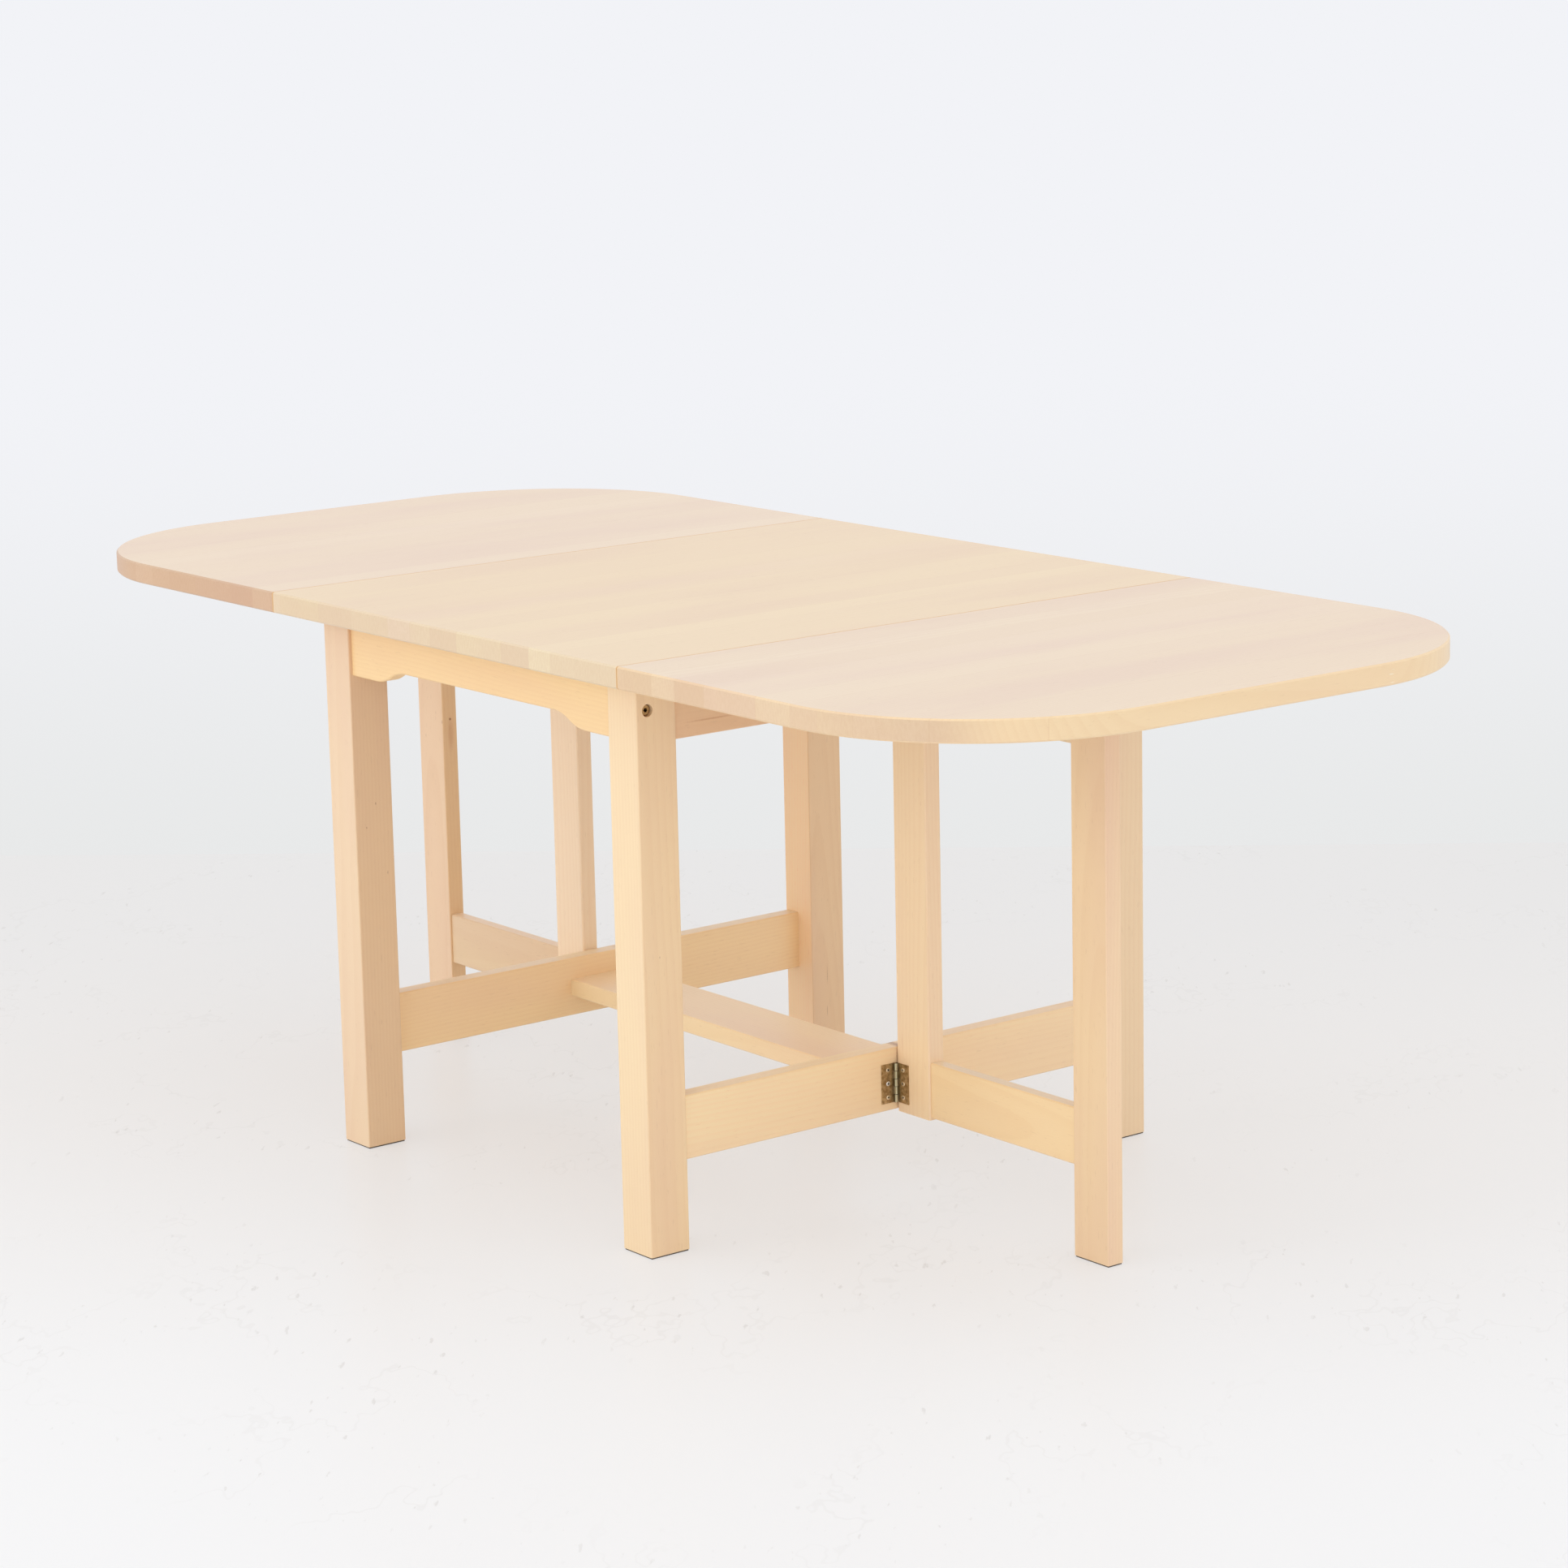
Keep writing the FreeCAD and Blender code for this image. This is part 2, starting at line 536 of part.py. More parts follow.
def leaf_panel(side, turned):
    """A drop leaf with two large rounded corners."""
    piece = Piece(f"leaf_{side}_panel", turned)
    edge = f"({SEAM} + seam_gap / 2)"
    end = f"({SEAM} + leaf_length)"
    bend_x = f"({end} - leaf_corner)"
    bend_y = f"({HALF_WIDTH} - leaf_corner)"
    corners = [(edge, mirrored(HALF_WIDTH)), (bend_x, mirrored(HALF_WIDTH)), (end, mirrored(bend_y)),
               (end, bend_y), (bend_x, HALF_WIDTH), (edge, HALF_WIDTH)]
    sketch = piece.sketch("z", UNDER_TOP)
    piece.outline(sketch, corners, {1: ((bend_x, mirrored(bend_y)), "leaf_corner"),
                                    3: ((bend_x, bend_y), "leaf_corner")})
    piece.feature("Pad", sketch, "top_thickness", 1)
    seam_x = value(edge)
    piece.soften("panel_arris", lambda start, stop: start.z == stop.z and max(start.x, stop.x) > seam_x + 1)
    let_in_hinges(piece, edge, f"({SEAM} + seam_hinge_plate + pocket_clearance)")
    piece.keep()


def stop_block(side, turned):
    """The block under a leaf that the open gate's leg swings up to."""
    piece = Piece(f"leaf_{side}_stop_block", turned)
    piece.block(around(GATE_LEG_MID, "stop_length / 2"), (STOP_NEAR, STOP_FAR), (STOP_BOTTOM, UNDER_TOP))
    piece.soften("rail_arris", lambda start, stop: start.z == stop.z and start.z < value(UNDER_TOP) - 1)
    piece.keep()


# ---------------------------------------------------------------- the frame

def fixed_leg(label, hand, turned):
    """A square leg on the right, mortised for the cross members and bored for its bolt.

    hand is -1 for the front leg and 1 for the back one.
    """
    piece = Piece(label, turned)

    def across(near, far):
        ends = (f"({hand} * {near})", f"({hand} * {far})")
        return ends if hand > 0 else ends[::-1]
    piece.block((LEG_IN_X, LEG_OUT_X), across(LEG_IN_Y, LEG_OUT_Y), ("foot_pad_thickness", UNDER_TOP))
    piece.soften("leg_arris", along_axis("z"), "Fillet")
    cheek = around(CROSS_MID, "(tenon_thickness / 2 + glue_gap)")
    depth = across(f"({LEG_IN_Y} - hole_spare)", f"({LEG_IN_Y} + tenon_length + hole_spare)")
    for low, high in (("rail_bottom", RAIL_TOP), (CROSS_BOTTOM, UNDER_TOP)):
        piece.recess(cheek, depth, (f"({low} + tenon_shoulder - glue_gap)",
                                    f"({high} - tenon_shoulder + glue_gap)"))
    y = f"({hand} * {APRON_MID})"
    piece.holes("x", LEG_OUT_X, -1, [(y, BOLT_Z)], "counterbore_radius", "counterbore_depth",
                SEAT_SIDES)
    piece.holes("x", BOLT_SEAT, -1, [(y, BOLT_Z)], "bolt_radius + bolt_clearance",
                "leg_size - counterbore_depth")
    piece.holes("x", LEG_IN_X, 1, [(y, z) for z in APRON_DOWELS], DOWEL_HOLE, DOWEL_DEPTH)
    piece.keep()


def long_apron(label, turned):
    """The front apron, its lower edge cut up in the middle between two s-curves."""
    piece = Piece(label, turned)
    arch_end = "(arch_flat + arch_run)"
    arch_middle = "(arch_flat + arch_run / 2)"
    radius = "((arch_run * arch_run + arch_rise * arch_rise) / arch_rise / 4)"
    arch_top = f"({APRON_BOTTOM} + arch_rise)"
    halfway = f"({APRON_BOTTOM} + arch_rise / 2)"
    corners = [(mirrored(LEG_IN_X), UNDER_TOP), (mirrored(LEG_IN_X), APRON_BOTTOM),
               (mirrored(arch_end), APRON_BOTTOM), (mirrored(arch_middle), halfway),
               ("(-arch_flat)", arch_top), ("arch_flat", arch_top), (arch_middle, halfway),
               (arch_end, APRON_BOTTOM), (LEG_IN_X, APRON_BOTTOM), (LEG_IN_X, UNDER_TOP)]
    above, below = f"({APRON_BOTTOM} + {radius})", f"({arch_top} - {radius})"
    sketch = piece.sketch("y", mirrored(APRON_OUT))
    piece.outline(sketch, corners, {2: ((mirrored(arch_end), above), radius),
                                    3: (("(-arch_flat)", below), radius),
                                    5: (("arch_flat", below), radius),
                                    6: ((arch_end, above), radius)})
    piece.feature("Pad", sketch, "apron_thickness", 1)
    low = value(BOLT_Z)
    piece.soften("rail_arris", lambda start, stop: start.y == stop.y and max(start.z, stop.z) < low)
    for way in (-1, 1):
        end = f"({way} * {LEG_IN_X})"
        piece.holes("x", end, -way, [(mirrored(APRON_MID), BOLT_Z)], "bolt_radius + bolt_clearance",
                    "bolt_length - leg_size + counterbore_depth + hole_spare")
        piece.holes("x", end, -way, [(mirrored(APRON_MID), z) for z in APRON_DOWELS],
                    DOWEL_HOLE, DOWEL_DEPTH)
    piece.holes("y", mirrored(APRON_IN), -1, [(NUT_X, BOLT_Z), (mirrored(NUT_X), BOLT_Z)],
                "nut_radius + glue_gap", "(apron_thickness + nut_length) / 2", KNUCKLE_SIDES)
    piece.keep()


def cross_member(label, low, high, turned):
    """A cross apron or lower rail on the right, tenoned into both legs."""
    piece = Piece(label, turned)
    piece.block((CROSS_IN, CROSS_OUT), (mirrored(LEG_IN_Y), LEG_IN_Y), (low, high))
    piece.soften("rail_arris", along_axis("y"))
    tip = f"({LEG_IN_Y} + tenon_length)"
    piece.block(around(CROSS_MID, "tenon_thickness / 2"), (mirrored(tip), tip),
                (f"({low} + tenon_shoulder)", f"({high} - tenon_shoulder)"))
    return piece


def lower_rail(side, turned):
    """The low rail between the two legs of a side, which carries an end of the board."""
    piece = cross_member(f"lower_rail_{side}", "rail_bottom", RAIL_TOP, turned)
    piece.holes("x", CROSS_IN, 1, [(y, BOARD_MID) for y in BOARD_DOWELS], DOWEL_HOLE, DOWEL_DEPTH)
    piece.keep()


def stretcher_board():
    """The flat board that joins the two lower rails."""
    piece = Piece("stretcher_board")
    piece.block((mirrored(CROSS_IN), CROSS_IN), around("0", "board_width / 2"), (BOARD_BOTTOM, BOARD_TOP))
    piece.soften("rail_arris", along_axis("x"))
    for way in (-1, 1):
        piece.holes("x", f"({way} * {CROSS_IN})", -way, [(y, BOARD_MID) for y in BOARD_DOWELS],
                    DOWEL_HOLE, DOWEL_DEPTH)
    piece.keep()


def frame_fittings():
    """The bolts, barrel nuts, dowels, top brackets and felt pads of the frame."""
    bolt, nut, bracket = frame_bolt(), barrel_nut(), top_bracket()
    dowel = dowel_peg()
    hands = (mirrored(APRON_MID), APRON_MID)
    both = [(y, turned) for y in hands for side, turned in SIDES]
    along_x = facing(1, 0, 0)
    group("frame_bolts", [copy_of(bolt, (BOLT_SEAT, y, BOLT_Z), along_x, turned) for y, turned in both])
    group("barrel_nuts", [copy_of(nut, (NUT_X, y, BOLT_Z), STRAIGHT, turned) for y, turned in both])
    dowel_x = f"({LEG_IN_X} - dowel_length / 2)"
    group("apron_dowels", [copy_of(dowel, (dowel_x, y, z), along_x, turned)
                           for y, turned in both for z in APRON_DOWELS])
    group("board_dowels", [copy_of(dowel, (f"({CROSS_IN} - dowel_length / 2)", y, BOARD_MID), along_x, turned)
                           for y in BOARD_DOWELS for side, turned in SIDES])
    brackets = []
    for x, y, step_x, step_y in bracket_places():
        turn = frame_of((step_x, step_y, 0), (-step_y, step_x, 0), (0, 0, 1))
        brackets.append(copy_of(bracket, (x, y, UNDER_TOP), turn))
    group("top_brackets", brackets)


def foot_pad(label, x, y, turned=False):
    """A felt pad under a leg, a little smaller than the leg."""
    piece = Piece(label, turned)
    inside = [(f"({low} + foot_pad_inset)", f"({high} - foot_pad_inset)") for low, high in (x, y)]
    piece.block(inside[0], inside[1], ("0", "foot_pad_thickness"))
    return piece


def fixed_feet():
    """The four felt pads under the fixed legs."""
    half = around("0", "leg_size / 2")
    pad = foot_pad("fixed_foot_pad", half, half).body
    x, y = f"({LEG_OUT_X} - leg_size / 2)", f"({LEG_OUT_Y} - leg_size / 2)"
    group("frame_foot_pads", [copy_of(pad, (x, f"({hand} * {y})", "0"), STRAIGHT, turned)
                              for hand in (-1, 1) for side, turned in SIDES])


# ---------------------------------------------------------------- the gates

def gate_mortises(piece, start, stop):
    """Take both rails' mortises out of a gate post or gate leg."""
    for low, high in (GATE_LOWER_RAIL, GATE_UPPER_RAIL):
        piece.recess((start, stop), around(GATE_MID, "(tenon_thickness / 2 + glue_gap)"),
                     (f"({low} + tenon_shoulder - glue_gap)", f"({high} - tenon_shoulder + glue_gap)"))


def gate_post(side, turned):
    """The upright that the gate's hinges are screwed to."""
    piece = Piece(f"gate_{side}_post", turned)
    piece.block((POST_IN, POST_OUT), (GATE_FRONT, GATE_BACK), ("gate_post_bottom", GATE_TOP))
    piece.soften("rail_arris", along_axis("z"))
    gate_mortises(piece, f"({POST_OUT} - gate_tenon_length - hole_spare)", f"({POST_OUT} + hole_spare)")
    piece.keep()


def gate_leg(side, turned):
    """The swinging leg that holds a leaf up."""
    piece = Piece(f"gate_{side}_leg", turned)
    piece.block((GATE_LEG_IN, GATE_LEG_OUT), (GATE_FRONT, GATE_BACK),
                ("foot_pad_thickness", f"({UNDER_TOP} - gate_leg_gap)"))
    piece.soften("leg_arris", along_axis("z"), "Fillet")
    gate_mortises(piece, f"({GATE_LEG_IN} - hole_spare)", f"({GATE_LEG_IN} + gate_tenon_length + hole_spare)")
    piece.keep()


def gate_rail(label, bounds, turned):
    """A rail between the gate's post and leg, with a tenon at each end."""
    piece = Piece(label, turned)
    low, high = bounds
    piece.block((POST_OUT, GATE_LEG_IN), around(GATE_MID, "gate_rail_thickness / 2"), bounds)
    piece.soften("rail_arris", along_axis("x"))
    ends = (f"({POST_OUT} - gate_tenon_length)", f"({GATE_LEG_IN} + gate_tenon_length)")
    piece.block(ends, around(GATE_MID, "tenon_thickness / 2"),
                (f"({low} + tenon_shoulder)", f"({high} - tenon_shoulder)"))
    piece.keep()


def main():
    """Build every piece, check them all and write the nodes."""
    centre_panel()
    for label, hand, turned in (("leg_front_right", -1, False), ("leg_back_right", 1, False),
                                ("leg_back_left", -1, True), ("leg_front_left", 1, True)):
        fixed_leg(label, hand, turned)
    long_apron("apron_front", False)
    long_apron("apron_back", True)
    stretcher_board()
    for side, turned in SIDES:
        cross_member(f"cross_apron_{side}", CROSS_BOTTOM, UNDER_TOP, turned).keep()
        lower_rail(side, turned)
        gate_post(side, turned)
        gate_leg(side, turned)
        gate_rail(f"gate_{side}_lower_rail", GATE_LOWER_RAIL, turned)
        gate_rail(f"gate_{side}_upper_rail", GATE_UPPER_RAIL, turned)
        foot_pad(f"gate_{side}_foot_pad", (GATE_LEG_IN, GATE_LEG_OUT), (GATE_FRONT, GATE_BACK), turned).keep()
        leaf_panel(side, turned)
        stop_block(side, turned)
    gate_hinges()
    seam_hinges()
    frame_fittings()
    fixed_feet()
    DOC.recompute()
    failed = [item.Label for item in DOC.Objects if {"Invalid", "Error"} & set(item.State)]
    empty = [node.Label for node in NODES if node.Shape.isNull() or not node.Shape.isValid()]
    if failed or empty:
        raise RuntimeError(f"failed: {failed}, no valid shape: {empty}")
    os.makedirs("parts", exist_ok=True)
    for node in NODES:
        node.Shape.exportStep(f"parts/{node.Label}.step")


main()
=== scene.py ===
"""Looks of a gateleg drop-leaf table: pale wood under clear lacquer, bronzed hinges, sunk bolts.

The table's own solids stay as they are and get their finishes here. Wood screws are added to its
hinges, brackets and stop blocks. Lengths are in millimetres until they enter a mesh or a shader.
"""

import logging
import math
from collections.abc import Callable, Sequence
from dataclasses import dataclass
from enum import Enum

import bpy
import numpy as np
from mathutils import Matrix, Vector


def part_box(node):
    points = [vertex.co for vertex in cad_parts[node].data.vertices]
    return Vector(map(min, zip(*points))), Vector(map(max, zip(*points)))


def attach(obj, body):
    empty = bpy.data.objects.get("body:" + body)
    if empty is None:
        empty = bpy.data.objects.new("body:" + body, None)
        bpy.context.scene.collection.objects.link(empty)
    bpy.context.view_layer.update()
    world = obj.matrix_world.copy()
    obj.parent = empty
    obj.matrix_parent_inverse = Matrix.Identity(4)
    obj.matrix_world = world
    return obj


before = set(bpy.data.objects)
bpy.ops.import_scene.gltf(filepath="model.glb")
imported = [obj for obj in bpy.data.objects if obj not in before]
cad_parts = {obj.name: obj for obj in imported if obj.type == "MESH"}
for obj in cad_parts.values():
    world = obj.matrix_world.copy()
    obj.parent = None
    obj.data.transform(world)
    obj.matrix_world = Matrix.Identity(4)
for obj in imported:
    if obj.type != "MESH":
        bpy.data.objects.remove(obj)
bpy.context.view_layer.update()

LOG = logging.getLogger("gateleg_table")
MM = 0.001
GOLDEN_SHARE = 0.618034
GOLDEN_ANGLE = 2.39996

Colour = tuple[float, float, float, float]
Tone = tuple[float, float, float]
Number = "float | Signal"

PLAIN: Tone = (1.0, 1.0, 1.0)


def shade(red: float, green: float, blue: float) -> Colour:
    """A shader colour from display values, brought to linear light by the display curve.

    Args:
        red, green, blue: display values from 0 to 255.

    Returns:
        Linear red, green, blue and an alpha of 1.
    """
    shares = np.array([red, green, blue]) / 255
    linear = np.where(shares <= 0.04045, shares / 12.92, ((shares + 0.055) / 1.055) ** 2.4)
    return (*(float(value) for value in linear), 1.0)


def scattered(number: int, low: float, high: float) -> float:
    """A repeatable value between low and high, spread by the golden section of a whole number."""
    return low + (high - low) * ((number * GOLDEN_SHARE) % 1)


class Signal:
    """A shader value, vector or colour that takes part in Python arithmetic."""

    def __init__(self, graph: "Graph", socket: bpy.types.NodeSocket) -> None:
        """Keeps the node tree and the output socket."""
        self.graph = graph
        self.socket = socket

    def _with(self, operation: str, first: "Number", second: "Number") -> "Signal":
        """The result of a Math node, or of a Vector Math node if a vector or colour takes part."""
        kinds = [one.socket.type for one in (first, second) if isinstance(one, Signal)]
        vectors = any(kind in ("VECTOR", "RGBA") for kind in kinds)
        kind = "ShaderNodeVectorMath" if vectors else "ShaderNodeMath"
        return self.graph.node(kind, {"operation": operation}, {0: first, 1: second})

    def __add__(self, other: "Number") -> "Signal":
        """self + other."""
        return self._with("ADD", self, other)

    __radd__ = __add__

    def __sub__(self, other: "Number") -> "Signal":
        """self - other."""
        return self._with("SUBTRACT", self, other)

    def __rsub__(self, other: "Number") -> "Signal":
        """other - self."""
        return self._with("SUBTRACT", other, self)

    def __mul__(self, other: "Number") -> "Signal":
        """self * other."""
        return self._with("MULTIPLY", self, other)

    __rmul__ = __mul__

    def __truediv__(self, other: "Number") -> "Signal":
        """self / other."""
        return self._with("DIVIDE", self, other)

    def __pow__(self, power: float) -> "Signal":
        """self to a power."""
        return self._with("POWER", self, power)


class Graph:
    """A node tree that is written as expressions."""

    def __init__(self, tree: bpy.types.NodeTree) -> None:
        """Empties the tree."""
        self.tree = tree
        tree.nodes.clear()

    def node(
        self,
        kind: str,
        settings: dict[str, object] | None = None,
        sockets: dict[int | str, object] | None = None,
        output: int | str = 0,
    ) -> Signal:
        """Adds one node.

        Args:
            kind: the node's type.
            settings: the node's own options, set first.
            sockets: a value or a Signal for each input, by its place or its name.
            output: the output that the Signal stands for.

        Returns:
            The chosen output.
        """
        made = self.tree.nodes.new(kind)
        for name, value in (settings or {}).items():
            setattr(made, name, value)
        for key, value in (sockets or {}).items():
            socket = made.inputs[key]
            if isinstance(value, Signal):
                self.tree.links.new(value.socket, socket)
            elif socket.type == "VECTOR" and not isinstance(value, (tuple, list, Vector)):
                socket.default_value = (value, value, value)
            else:
                socket.default_value = value
        return Signal(self, made.outputs[output])

    def maths(self, operation: str, value: Signal, other: "Number" = 0.0) -> Signal:
        """A Math node of that operation."""
        return self.node("ShaderNodeMath", {"operation": operation}, {0: value, 1: other})

    def place(self) -> Signal:
        """The point in the piece's own frame, in metres."""
        return self.node("ShaderNodeTexCoord", output="Object")

    def facing(self) -> Signal:
        """The surface's own direction in the piece's frame."""
        return self.node("ShaderNodeTexCoord", output="Normal")

    def parts(self, vector: Signal) -> tuple[Signal, Signal, Signal]:
        """The three components of a vector."""
        first = self.node("ShaderNodeSeparateXYZ", sockets={0: vector})
        outputs = first.socket.node.outputs
        return first, Signal(self, outputs[1]), Signal(self, outputs[2])

    def joined(self, x: "Number", y: "Number", z: "Number") -> Signal:
        """A vector of three components."""
        return self.node("ShaderNodeCombineXYZ", sockets={0: x, 1: y, 2: z})

    def length(self, vector: Signal) -> Signal:
        """A vector's length."""
        return self.node("ShaderNodeVectorMath", {"operation": "LENGTH"}, {0: vector}, "Value")

    def noise(self, vector: Signal, detail: float = 2, roughness: float = 0.5) -> Signal:
        """Soft noise from 0 to 1, one wave to a unit of the vector."""
        sockets = {"Vector": vector, "Scale": 1.0, "Detail": detail, "Roughness": roughness}
        return self.node("ShaderNodeTexNoise", sockets=sockets)

    def scatter(self, value: Signal) -> Signal:
        """A value from 0 to 1 that jumps with each whole number."""
        return self.node("ShaderNodeTexWhiteNoise", {"noise_dimensions": "1D"}, {"W": value})

    def rise(self, value: Signal, start: float, end: float) -> Signal:
        """0 below start, 1 above end and an s-curve between them."""
        settings = {"interpolation_type": "SMOOTHSTEP", "clamp": True}
        return self.node("ShaderNodeMapRange", settings, {0: value, 1: start, 2: end})

    def blend(self, share: "Number", low: object, high: object) -> Signal:
        """The colour from low at share 0 to high at share 1."""
        return self.node("ShaderNodeMix", {"data_type": "RGBA"}, {0: share, 6: low, 7: high}, 2)

    def bump(self, height: Signal, depth: float) -> Signal:
        """A Normal from a height of 0 to 1 that stands depth metres high."""
        sockets = {"Strength": 1.0, "Distance": depth, "Height": height}
        return self.node("ShaderNodeBump", sockets=sockets)

    def seen(self) -> Signal:
        """1 for what the camera sees directly, in gloss or through glass."""
        path = self.node("ShaderNodeLightPath").socket.node.outputs
        camera, gloss, glass = (
            Signal(self, path[name])
            for name in ("Is Camera Ray", "Is Glossy Ray", "Is Transmission Ray")
        )
        return self.maths("MAXIMUM", self.maths("MAXIMUM", camera, gloss), glass)

    def finish(self, surface: Signal, kind: str = "ShaderNodeOutputMaterial") -> None:
        """Joins the surface to the tree's output."""
        output = self.tree.nodes.new(kind)
        self.tree.links.new(surface.socket, output.inputs["Surface"])


class Finish:
    """A finish that becomes a material: a subclass gives its name and writes its tree."""

    name: str

    def surface(self, graph: Graph) -> Signal:
        """The finish's shader."""
        raise NotImplementedError

    def material(self) -> bpy.types.Material:
        """Makes the material."""
        made = bpy.data.materials.new(self.name)
        made.use_nodes = True
        graph = Graph(made.node_tree)
        graph.finish(self.surface(graph))
        return made


@dataclass(frozen=True)
class Speckle:
    """Noise as a share: 0 below its low level and 1 above its high one."""

    waves: tuple[float, float, float]
    detail: float
    low: float
    high: float
    roughness: float = 0.5

    def share(self, graph: Graph, point: Signal, shift: float = 0.0) -> Signal:
        """The share at a point.

        Args:
            graph: the tree that the nodes go into.
            point: the place in metres, with waves to a metre along each of its axes.
            shift: a step that gives another piece other noise.

        Returns:
            A value from 0 to 1.
        """
        place = point * self.waves + shift if shift else point * self.waves
        return graph.rise(graph.noise(place, self.detail, self.roughness), self.low, self.high)


class Grain(Enum):
    """The direction that a piece's wood runs in, with the order that brings it last."""

    ALONG_X = (1, 2, 0)
    ALONG_Y = (0, 2, 1)
    ALONG_Z = (0, 1, 2)


@dataclass(frozen=True)
class Mark:
    """A pin knot, a dash or a chip in a piece of wood, or a patch of painted shadow."""

    middle: tuple[float, float, float]
    length: float
    width: float
    strength: float = 0.6
    tint: Colour = shade(150, 96, 58)


@dataclass(frozen=True)
class LacqueredWood(Finish):
    """Pale wood under clear satin lacquer.

    Growth rings are shells round a pith line beside the piece. The distance from that line, bent by
    slow noise and a taper along the trunk, is cut into rings, and each ring darkens towards its
    outer edge. Fibres and flecks are noise that is drawn out along the grain. A pair of shares
    holds the value on long grain and the one on end grain. The tones are partly the wood's own
    colour and partly painted light: faces turned across one axis take a second tone that paints
    light and shade by facing, end grain takes a tone of its own, and upward faces carry a painted
    sheen.
    """

    name: str
    grain: Grain
    number: int
    middle: tuple[float, float, float]
    stave: float = 0.0
    marks: tuple[Mark, ...] = ()
    seam: float = 0.0
    # The tones below are partly the wood's own colour and partly painted light and shade by facing.
    tone: Tone = PLAIN
    painted_side_tone: Tone | None = None
    face_axis: int = 2
    end_grain_and_light_tone: Tone = PLAIN
    ring: float = 5.5
    stave_swing: tuple[float, float] = (23.0, 0.3)
    glue_line: tuple[float, float] = (0.4935, 0.4985)
    pith_reach: tuple[float, float] = (70.0, 130.0)
    taper: float = 0.014
    bend: float = 0.030
    bend_waves: tuple[float, float, float] = (6.0, 6.0, 1.1)
    wobble: float = 0.5
    wobble_waves: tuple[float, float, float] = (30.0, 30.0, 4.0)
    ring_rise: tuple[float, float] = (0.25, 0.9)
    ring_fall: tuple[float, float] = (0.93, 1.0)
    mark_edge: tuple[float, float] = (0.5, 1.4)
    end_level: tuple[float, float] = (0.55, 0.85)
    face_level: tuple[float, float] = (0.75, 0.95)
    late_shares: tuple[float, float] = (0.18, 0.12)
    fleck_shares: tuple[float, float] = (0.09, 0.0)
    own_shares: tuple[float, float] = (0.22, 0.67)
    second_shares: tuple[float, float] = (0.10, 0.40)
    fibre_waves: tuple[float, float, float] = (800.0, 800.0, 22.0)
    fibre_depth: float = 0.00003
    patch: Speckle = Speckle((7.0, 7.0, 1.3), 3, 0.42, 0.72, 0.55)
    fleck: Speckle = Speckle((520.0, 520.0, 70.0), 1, 0.66, 0.76)
    pores: Speckle = Speckle((900.0, 900.0, 60.0), 1, 0.58, 0.70)
    saw: Speckle = Speckle((420.0, 140.0, 60.0), 2, 0.40, 0.60)
    seam_band: tuple[float, float] = (1.0, 2.2)
    pale: Colour = shade(242, 217, 178)
    late: Colour = shade(230, 196, 153)
    rosy: Colour = shade(232, 199, 170)
    tan: Colour = shade(221, 184, 143)
    dark: Colour = shade(150, 96, 58)
    # Painted shade along the seams between the top's panels.
    seam_shade_tan: Colour = shade(236, 192, 134)

    def _grain_space(self, graph: Graph, vector: Signal) -> Signal:
        """The vector with its component along the grain last."""
        parts = graph.parts(vector)
        return graph.joined(*(parts[i] for i in self.grain.value))

    def _ordered(self, point: Sequence[float]) -> list[float]:
        """A point in metres with its component along the grain last."""
        return [point[i] * MM for i in self.grain.value]

    def _staves(self, graph: Graph, across: Signal) -> tuple[Signal, Signal]:
        """Glued staves: their number, and a thin line where two meet.

        A sine is added to the place across the grain before it is cut into equal steps, so that the
        staves' widths vary.
        """
        waves, swing = self.stave_swing
        sine = graph.maths("SINE", across * waves + self.number)
        bent = across / (self.stave * MM) + sine * swing
        number = graph.maths("FLOOR", bent)
        edge = graph.maths("ABSOLUTE", bent - number - 0.5)
        return number, graph.rise(edge, *self.glue_line)

    def _rings(self, graph: Graph, point: Signal, shift: "Number") -> Signal:
        """Late wood from 0 to 1: the distance from the pith, counted in rings."""
        angle = self.number * GOLDEN_ANGLE
        reach = scattered(self.number, *self.pith_reach) * MM
        middle = self._ordered(self.middle)
        across, deep, along = graph.parts(point)
        from_x = across - (middle[0] + math.cos(angle) * reach) + shift
        from_y = deep - (middle[1] + math.sin(angle) * reach)
        slow = graph.noise(point * self.bend_waves + self.number * 3.7, 2)
        radius = (from_x * from_x + from_y * from_y) ** 0.5
        radius = radius + along * self.taper + slow * self.bend
        counted = radius / (self.ring * MM)
        counted = counted + graph.noise(point * self.wobble_waves) * self.wobble
        step = graph.maths("FRACT", counted)
        return graph.rise(step, *self.ring_rise) * (1.0 - graph.rise(step, *self.ring_fall))

    def _marked(self, graph: Graph, point: Signal, colour: Signal) -> Signal:
        """Pin knots and other marks: each mark's tint where the distance from its middle, in its
        own sizes, is under 1. One mark is a painted shadow in a gap.
        """
        for mark in self.marks:
            sizes = (mark.width * MM / 2, mark.width * MM / 2, mark.length * MM / 2)
            offset = (point - tuple(self._ordered(mark.middle))) / sizes
            ragged = graph.length(offset) + graph.noise(point * 700.0) * 0.6
            share = (1.0 - graph.rise(ragged, *self.mark_edge)) * mark.strength
            colour = graph.blend(share, colour, mark.tint)
        return colour

    def _wood_and_light_tone(self, graph: Graph) -> "Signal | Tone":
        """The piece's tone, partly its wood's colour and partly painted light. If it has a side
        tone, faces that look across face_axis take that, which paints light and shade by facing.
        """
        if self.painted_side_tone is None:
            return self.tone
        level = graph.maths("ABSOLUTE", graph.parts(graph.facing())[self.face_axis])
        face, edge = (*self.tone, 1.0), (*self.painted_side_tone, 1.0)
        return graph.blend(graph.rise(level, *self.face_level), edge, face)

